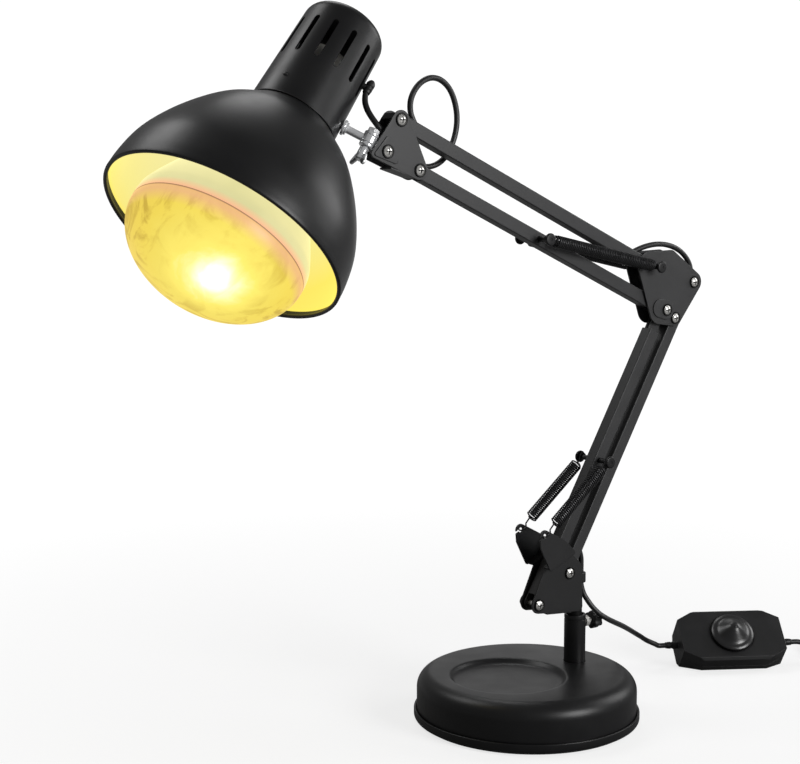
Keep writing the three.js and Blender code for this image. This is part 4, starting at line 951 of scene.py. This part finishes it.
def add_head_joint():
    pivot = JOINT.inverted() @ Vector((KNUCKLE_PIVOT[0], 0, KNUCKLE_PIVOT[1]))
    eye = sleeve(2.2, 4.9, -5.2, 5.2, 0.4, JOINT @ at(pivot.x, 0, pivot.z) @ ARM)
    cheeks = side_plates(outline([(0, 0, 5.2), (7.4, 0, 4.0)]), [(0, 0)], 3.1, 5.1, JOINT, 0.3)
    spine = block("spine", (3.4, 8, 10.2), JOINT @ at(7.9), 0.6)
    dress(merged("knuckle", [eye, *cheeks, spine]), CHROME, "knuckle", "tilt_knuckle")
    dress(hex_nut("swivel_lock_nut", 4.0, 3, JOINT @ at(0, 0, 5.4)), CHROME, "knuckle", "swivel_nut")
    shank = [(0, -15), (2, -15), *thread(-5.4, 9, 2.0, 0.7), (1.6, 9.4), (0, 9.4)]
    hub = [(0, -15.5), (2.6, -15.5), (3.4, -14.6), (3.4, -7), (2.9, -5.5), (0, -5.5)]
    parts = [lathe("shank", shank, JOINT, 24), lathe("hub", hub, JOINT, 32)]
    for side in (1, -1):
        loop = [(side * 2, -13, 1.8), (side * 6.6, -16.8, 2), (side * 5, -12, 1.5)][::side]
        parts.append(plate("wing", outline(loop), [], -1, 1, JOINT @ spin(90, "Z") @ ARM, 0.5))
    dress(merged("wing_nut", parts), CHROME, "wing", "wing_screw")
    away = STEM_REACH - CAP_RADIUS - GAP
    profile = [(0, 4.4), (2.75, 4.4), (2.75, away - 3.4), (4.4, away - 3.2), (4.4, away - 2),
               (5.4, away - 1.7), (5.4, away - 0.3), (5.1, away), (1.7, away), (1.7, away + 4), (0, away + 4)]
    turn = JOINT.inverted().to_3x3() @ -ARM_WAY
    stem = lathe("stem", profile, JOINT @ Matrix.Rotation(math.atan2(turn.y, turn.x), 4, "Z") @ ALONG_X, 40)
    dress(merged("stem", [sleeve(2.2, 5.3, -2.8, 2.8, 0.6, JOINT), stem]), CHROME, "head", "head_stem")


# Head
SHADE_CURVE = [(31.4, SHADE_TOP), (41, 91.8), (52.5, 81.3), (65, 64.5), (75.5, 46), (82.3, 29), (85.2, 12),
               (85.7, 0)]


def shade_outline(inset, rows=40):
    line = smooth_line([(r, h, 0) for r, h in SHADE_CURVE], rows)
    points = []
    for i, point in enumerate(line):
        along = (line[min(i + 1, rows)] - line[max(i - 1, 0)]).normalized()
        points.append((point.x + along.y * inset, point.y - along.x * inset))
    return points


def add_shade():
    top, hole, sides = SHADE_TOP, 23, 160
    bead = arc((84.3, 1.4), 1.4, 0, -270, 14)
    skin = [(hole, top), *shade_outline(0)[:-2], *bead, *shade_outline(0.7)[::-1][4:], (hole, top - 0.7),
            (hole, top)]
    dress(lathe("shade_outside", skin, HEAD, sides), PAINT, "head", "shade")
    lining = [(hole, top - 0.8), *shade_outline(0.75)[:-1], *shade_outline(1.0)[:-1][::-1], (hole, top - 1.1),
              (hole, top - 0.8)]
    dress(lathe("shade_inside", lining, HEAD, sides), ENAMEL_PAINTED_GLOW, "head")


def add_cap():
    foot, wall = SHADE_TOP + GAP, 1.2

    def profile(inset):
        return [(CAP_RADIUS - inset, foot), *arc((20.6, CAP_TOP - 9), 9 - inset, 0, 90, 8),
                (10, CAP_TOP - inset + 0.5), (0, CAP_TOP - inset + 0.8)]

    shell = lathe("cap", [*profile(0), *profile(wall)[::-1], (CAP_RADIUS, foot)], HEAD, HEAD_SIDES)
    vent = outline([(0, 139.5, 2), (0, 168.5, 2)], 20)
    vents = [prism("vent", vent, 0, 8, HEAD @ spin(-6.7 + 360 * k / VENTS, "Z") @ at(0, -25.6) @ ARM)
             for k in range(VENTS)]
    stem_hole = rod(2.3, 20, 40, HEAD @ at(0, 0, STEM_LEVEL) @ ALONG_X)
    relief_hole = rod(2.5, 26, 34, HEAD @ at(0, 0, RELIEF_LEVEL) @ ALONG_X)
    carved(shell, [merged("vents", vents), stem_hole, relief_hole])
    dress(shell, PAINT, "head", "socket_cap")
    seam = [(31.0, foot - 0.35), (32.4, foot - 0.35), (32.55, foot + 0.1), (32.2, foot + 0.6),
            (31.7, foot + 0.6), (31.0, foot - 0.35)]
    dress(lathe("cap_seam", seam, HEAD, HEAD_SIDES), PAINT, "head")
    for side, angle in (("near", -118), ("far", 62)):
        screw = lathe(f"cap_screw_{side}", [(0, 0), (1.9, 0), (1.9, 0.5), (1.2, 1.2), (0, 1.4)],
                      HEAD @ spin(angle, "Z") @ at(31.0, 0, 116) @ ALONG_X, 24)
        dress(screw, PAINT, "head")


def add_socket_and_bulb():
    low = SHADE_TOP + GAP + 0.2
    socket = [(14.2, 108.9), (17, 108.9), (17, low), (28.5, low), (28.5, low + 3), (20, low + 3), (20, 150),
              (16, 158), (9, 161), (0, 161), (0, 146), (14.2, 146), (14.2, 108.9)]
    socket = rounded(socket, {3: 0.6, 4: 0.6, 5: 1.2, 6: 2, 7: 2, 8: 1.5})
    dress(lathe("socket", socket, HEAD, 64), CERAMIC, "head", "lamp_socket")
    threads = [(0, 142.5), (5, 142.5), (9, 139.5), (12.4, 138)]
    height = 136.8
    while height > 114:
        threads += [(12.4, height + 0.6), (13.2, height), (13.4, height - 0.7), (13.2, height - 1.4),
                    (12.4, height - 2.1)]
        height -= 3.6
    threads += [(13.2, 112), (13.2, 107.6), (0, 107.6)]
    dress(lathe("bulb_cap", threads, HEAD, 64), BRASS, "head", "bulb_base")
    # The glass neck and the aluminised cone up to the widest ring
    cone = [(14, 107.3), (15.2, 103), (16.6, 97), (20.2, 88), (26, 76), (34.5, 59.5), (43.5, 42),
            (51.5, 26.5), (58, 13.5), (60.8, 7)]
    curve = smooth_line([(r, h, 0) for r, h in cone], 36)
    profile = [(0, 107.3), *((p.x, p.y) for p in curve), (61.5, 5.2), (61.9, 3.5), (BULB_RADIUS, -1),
               (BULB_RADIUS, -5), (61.6, -5), (60.6, 4), (0, 60)]
    dress(lathe("bulb_reflector", profile, HEAD, HEAD_SIDES), REFLECTOR_PAINTED_GLOW, "head", "bulb_glass")
    angles = [rad(2.25 * k) for k in range(40)]
    depth = BULB_REACH + BULB_EDGE
    dome = [(BULB_RADIUS * math.cos(t), BULB_EDGE - depth * math.sin(t)) for t in angles]
    front = [(0, -5.0), (61.2, -5.0), (61.2, BULB_EDGE), *dome, (0, -BULB_REACH)]
    dress(lathe("bulb_front", front, HEAD, HEAD_SIDES), LIT_GLASS, "head")


def add_cables():
    lead = [HEAD @ Vector((RELIEF_X, 0, 150.5)), HEAD @ Vector((RELIEF_X, 0, 147.6)), (-137.2, 12.6, 456.2),
            (-137.8, 9.2, 451), (-136.9, 5.4, 445.8), (-135, 2.2, 441), (-132.6, 0.5, 436.8),
            (-130.8, 0, 432.8)]
    line = smooth_line(lead, 48)
    cable("head_lead", line, "knuckle", "head", line[-1], line[6], "head_lead_cable")
    loop = [(-100.5, 0, 434.6), (-104.4, 0, 441.2), (-107.6, 0.6, 449), (-106.4, 2.5, 457), (-102, 4, 464.5),
            (-95, 5.5, 470.5), (-86, 7, 473.8), (-77, 8.2, 473), (-69, 9, 468), (-63.5, 9.6, 459.5),
            (-60.9, 9.8, 449), (-61.6, 9.8, 438.5), (-65.8, 9.8, 427), (-72.9, 9.8, 417.9), (-81, 9.8, 413.6),
            (-90, 9.8, 412.8), (-99, 9.8, 416), (-107, 9.8, 419.6), (-112.6, 9, 421.3), (-115.3, 6.4, 422),
            (-116.4, 3.4, 422.4), (-116.8, 0.6, 422.6)]
    cable("head_loop", smooth_line(loop, 160), "top_bar", "wrist", Vector((-63, 9, 470)),
          Vector((-92, 9.8, 413)), "head_loop_cable")
    grommet = [(2.5, 5.2), (3.9, 5.2), (3.9, 5.6), (3.4, 5.9), (3.4, 6.9), (3.9, 7.2), (4.4, 7.6), (4.2, 8.2),
               (3.3, 8.5), (2.5, 8.2), (2.5, 5.2)]
    piece = lathe("loop_grommet", grommet, at(LOOP_HOLE[0], 0, LOOP_HOLE[1]) @ FAR_SIDE, 32)
    dress(piece, RUBBER, "wrist", slot="black_plastic")
    elbow = [(96.6, 346.8), (102.6, 349.2), (109, 351.4), (117.5, 353.4), (127, 354.4), (137, 353.8),
             (147, 351.2), (155.5, 346.6), (161.5, 340.6), (164.2, 334.8), (163.8, 329.9)]
    line = smooth_line([(x, 0, z) for x, z in elbow], 80)
    cable("elbow_loop_upper", line[:41], "top_bar", "elbow", line[2], line[38], "elbow_cable")
    cable("elbow_loop_lower", line[40:], "elbow", "rear_bar", line[42], line[78])
    foot = [(45.6, 124.6), (48.6, 124.2), (51.4, 121.6), (53.1, 116.6), (CLIP_X, 110.6),
            (CLIP_X, CLIP_TOP + GAP), (CLIP_X, CLIP_TOP - CLIP_HEIGHT)]
    line = smooth_line([(x, 0, z) for x, z in foot], 48)
    cable("foot_loop", line, "rear_bar", "swivel", line[4], line[34], "foot_cable")
    profile = [(0, 158.8), (1.6, 158.6), (2.4, 157.6), (3.1, 156), (3.1, 153.6), (2.7, 153.2), (2.7, 152.6),
               (3.05, 152.2), (3.0, 150.6), (2.65, 150.2), (2.65, 149.7), (2.9, 149.3), (2.6, 148),
               (2.3, 147.8), (0, 147.8)]
    neck = rod(2.3, 28.2, RELIEF_X, HEAD @ at(0, 0, RELIEF_LEVEL) @ ALONG_X)
    relief = merged("lead_relief", [lathe("relief", profile, HEAD @ at(RELIEF_X), 32), neck])
    dress(relief, PLASTIC, "head", "strain_relief")


# Dimmer and plug
def dimmer_shell(name, low, high):
    """An eight-sided shell between two heights, with its long lower edges cut flat where it can rest."""
    x, y = DIMMER_LENGTH / 2, DIMMER_WIDTH / 2
    corners = [(x, 15.5), (27.7, y), (-27.7, y), (-x, 15.5), (-x, -15.5), (-27.7, -y), (27.7, -y), (x, -15.5)]
    top, roll = DIMMER_HEIGHT / 2, rad(DIMMER_ROLL)
    side_height = (y * math.sin(roll) - DIMMER_REST) / math.cos(roll)
    foot_width = (DIMMER_REST - top * math.cos(roll)) / math.sin(roll)
    half = [(foot_width, -top), (y, side_height), (y, top - 2), (y - 2, top)]
    section = half + [(-y, z) for y, z in half[::-1]]
    long = prism("long", section, -x, x, DIMMER @ spin(90, "Z") @ ARM)
    return carved(prism(name, corners, low, high, DIMMER), [long], "INTERSECT")


def ribbed_relief(name, start, end, wide, narrow, matrix, rings=5):
    """A tapered strain relief with shallow rings, about its own z."""
    profile = [(0, start), (wide, start)]
    for k in range(rings):
        (r0, a), (r1, b) = (between((wide, start), (narrow, end), (k + t) / rings) for t in (0.15, 0.75))
        profile += [(r0, a), (r1, b), (r1 - 0.35, b + 0.25), (r1 - 0.35, b + (end - start) / rings * 0.35)]
    profile += [(narrow, end - 0.4), (narrow - 0.3, end), (0, end)]
    return lathe(name, profile, matrix, 40)


def add_dimmer():
    top, half = DIMMER_HEIGHT / 2, DIMMER_LENGTH / 2
    shell = bevelled(dimmer_shell("dimmer_base_shell", -top, DIMMER_SEAM - GAP), 0.9, 3)
    holes = []
    for side, turn in (("right", ALONG_X), ("left", AGAINST_X)):
        relief = ribbed_relief(f"dimmer_relief_{side}", half - 12, half + COLLAR, 4.0, 2.7, DIMMER @ turn)
        dress(relief, PLASTIC, "base")
        holes.append(rod(4.3, 30, 50, DIMMER @ turn, 40))
    dress(flat(shell), PLASTIC, "base", "dimmer_bottom")
    face = bevelled(dimmer_shell("dimmer_face_shell", DIMMER_SEAM, top), 0.7, 3)
    recess = lathe("recess", [(0, top - 0.7), (18.6, top - 0.7), (18.9, top + 1), (0, top + 1)], DIMMER, 96)
    carved(face, [recess, *holes])
    dress(flat(face), PLASTIC, "base", "dimmer_top")
    disc = [(0, -0.4), (17.2, -0.4), (17.6, 0), (17.6, 2.6), (17.0, 3.3), (15.0, 3.9), (13.6, 4.1),
            (12.6, 4.5), (10.6, 6.1), (7.4, 8.9), (4.6, 11.3), (3.2, 12.2), (1.6, 12.6), (0, 12.7)]
    knob = lathe("disc", [(r, top + h) for r, h in disc], DIMMER, 96)
    flutes = [block("flute", (0.9, 0.9, 2.0), DIMMER @ spin(360 * k / FLUTES, "Z") @ at(17.5, 0, top + 1.2)
                    @ spin(45, "Z")) for k in range(FLUTES)]
    carved(knob, [merged("flutes", flutes)])
    ridge = [(-12.6, 3.2), (-1.2, 12.4), (0.6, 12.4), (0.6, 3.2)]
    wedge = prism("wedge", ridge, -0.9, 0.9, DIMMER @ at(0, 0, top + 0.9) @ spin(90, "Z") @ ARM, 0.3)
    dress(merged("knob", [knob, wedge]), GLOSSY_PLASTIC, "dimmer_dial", "dimmer_knob")


def add_plug(line):
    start = line[-1]
    along = (line[-1] - line[-2]).normalized()
    place = at(*(start + along * GAP)) @ Matrix.Rotation(math.atan2(along.y, along.x), 4, "Z")
    relief = ribbed_relief("relief", 0, 24, 4.6, 2.9, place @ at(24) @ AGAINST_X)
    shape = [(20, -6), (26, -10.5), (48, -12.5), (50, -11), (50, 11), (48, 12.5), (26, 10.5), (20, 6)]
    body = prism("body", shape, -start.z, start.z, place, 2.4, 4)
    grips = [block("grip", (1.2, 4, 9), place @ at(30 + 3.4 * k, side * 13.2)) for side in (1, -1)
             for k in range(5)]
    carved(body, [merged("grips", grips)])
    dress(merged("plug_housing", [relief, body]), PLASTIC, "base", "plug_body")
    for name, side in (("left", 6.35), ("right", -6.35)):
        blade = block(f"blade_{name}", (17, 1.5, 6.3), place @ at(50 + GAP + 8.5, side), 0.45)
        carved(blade, [rod(1.5, -3, 3, place @ at(50 + GAP + 12, side) @ ARM)])
        dress(blade, BRASS, "base", f"plug_blade_{name}")


# Studio: strengths of sky and floor as seen, mirrored and as light, and the lamps in metres and watts
SKY_SEEN, SKY_MIRRORED, SKY_LIGHT = 0.96, 0.12, 0.10
FLOOR_SEEN, FLOOR_BOUNCED, FLOOR_GLOW = 0.95, 0.22, 1.06
LAMPS = [("left", (-0.7, 1.0, 1.75), 0.9, 8.5), ("right", (1.45, -0.35, 0.85), 0.9, 7.5),
         ("front", (0.5, -1.9, 0.8), 1.0, 30), ("top", (0.6, 1.0, 1.7), 0.7, 3.5),
         ("back", (1.0, 1.25, 0.5), 0.8, 0.65)]


def ray_kinds(tree):
    """1 for rays straight from the camera or through glass, and 1 for reflections."""
    path = make_node(tree, "LightPath", {})
    direct = combine(tree, "MAXIMUM", path.outputs["Is Camera Ray"], path.outputs["Is Transmission Ray"])
    return direct, path.outputs["Is Glossy Ray"]


def add_floor():
    """A white floor that fades into the white background and keeps a soft shadow near the lamp. It bounces
    less light than the camera sees, so that the black lamp stays as dark as in the photograph."""
    edge = 9000
    corners = [(-edge, -edge, 0), (edge, -edge, 0), (edge, edge, 0), (-edge, edge, 0)]
    floor = make("floor", corners, [(0, 1, 2, 3)], at(0, 0, -0.2))
    material, tree, shader = node_material("studio_floor")
    direct, glossy = ray_kinds(tree)
    fill(tree, shader, {"Base Color": ramp(tree, direct, (0.0, FLOOR_BOUNCED), (1.0, FLOOR_SEEN)),
                        "Roughness": 0.9, "Specular IOR Level": 0.0})
    away = scaled(tree, distance_from(tree, Vector((50, 0, 0)) * MM), 0.25, 1.1)
    seen = combine(tree, "MULTIPLY", direct, ramp(tree, away, (0.0, 0.7), (1.0, 1.0)))
    mirrored = combine(tree, "MULTIPLY", glossy, ramp(tree, away, (0.0, 0.03), (1.0, 0.3)))
    glow = make_node(tree, "Emission", {"Color": (1, 1, 1, 1), "Strength": FLOOR_GLOW})
    share = combine(tree, "ADD", seen, mirrored)
    mix = make_node(tree, "MixShader", {"Fac": share, 1: shader.outputs["BSDF"], 2: glow.outputs["Emission"]})
    fill(tree, tree.nodes["Material Output"], {"Surface": mix.outputs["Shader"]})
    floor.data.materials.append(material)


def add_studio():
    scene.world = bpy.data.worlds.new("studio")
    scene.world.use_nodes = True
    tree = scene.world.node_tree
    direct, glossy = ray_kinds(tree)
    seen = combine(tree, "MULTIPLY", direct, SKY_SEEN)
    light = combine(tree, "ADD", seen, combine(tree, "MULTIPLY", glossy, SKY_MIRRORED))
    strength = combine(tree, "ADD", light, SKY_LIGHT)
    fill(tree, tree.nodes["Background"], {"Color": (1, 1, 1, 1), "Strength": strength})
    for name, place, size, power in LAMPS:
        light = bpy.data.lights.new(name, "AREA")
        light.shape = "DISK"
        light.size = size
        light.energy = power
        lamp = placed(name, light)
        lamp.location = place
        lamp.visible_camera = False
        lamp.rotation_euler = (Vector((0, 0, 0.22)) - Vector(place)).to_track_quat("-Z", "Y").to_euler()
    scene.view_settings.view_transform = "Standard"


def dress_hidden_nodes():
    """CAD nodes that stay, inside the base and post."""
    for name, material in (("base_weight", IRON), ("post_nut", SCREW), ("post_bush", PLASTIC)):
        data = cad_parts[name].data
        data.materials.clear()
        data.materials.append(material)


cord, cord_path = add_supply_cord()
add_floor()
add_studio()
add_base()
add_post()
add_lock()
add_lower_bracket()
add_lower_arm()
add_elbow()
add_upper_arm()
add_head_bracket()
add_head_joint()
add_shade()
add_cap()
add_socket_and_bulb()
add_cables()
add_dimmer()
add_plug(cord_path)
dress_hidden_nodes()
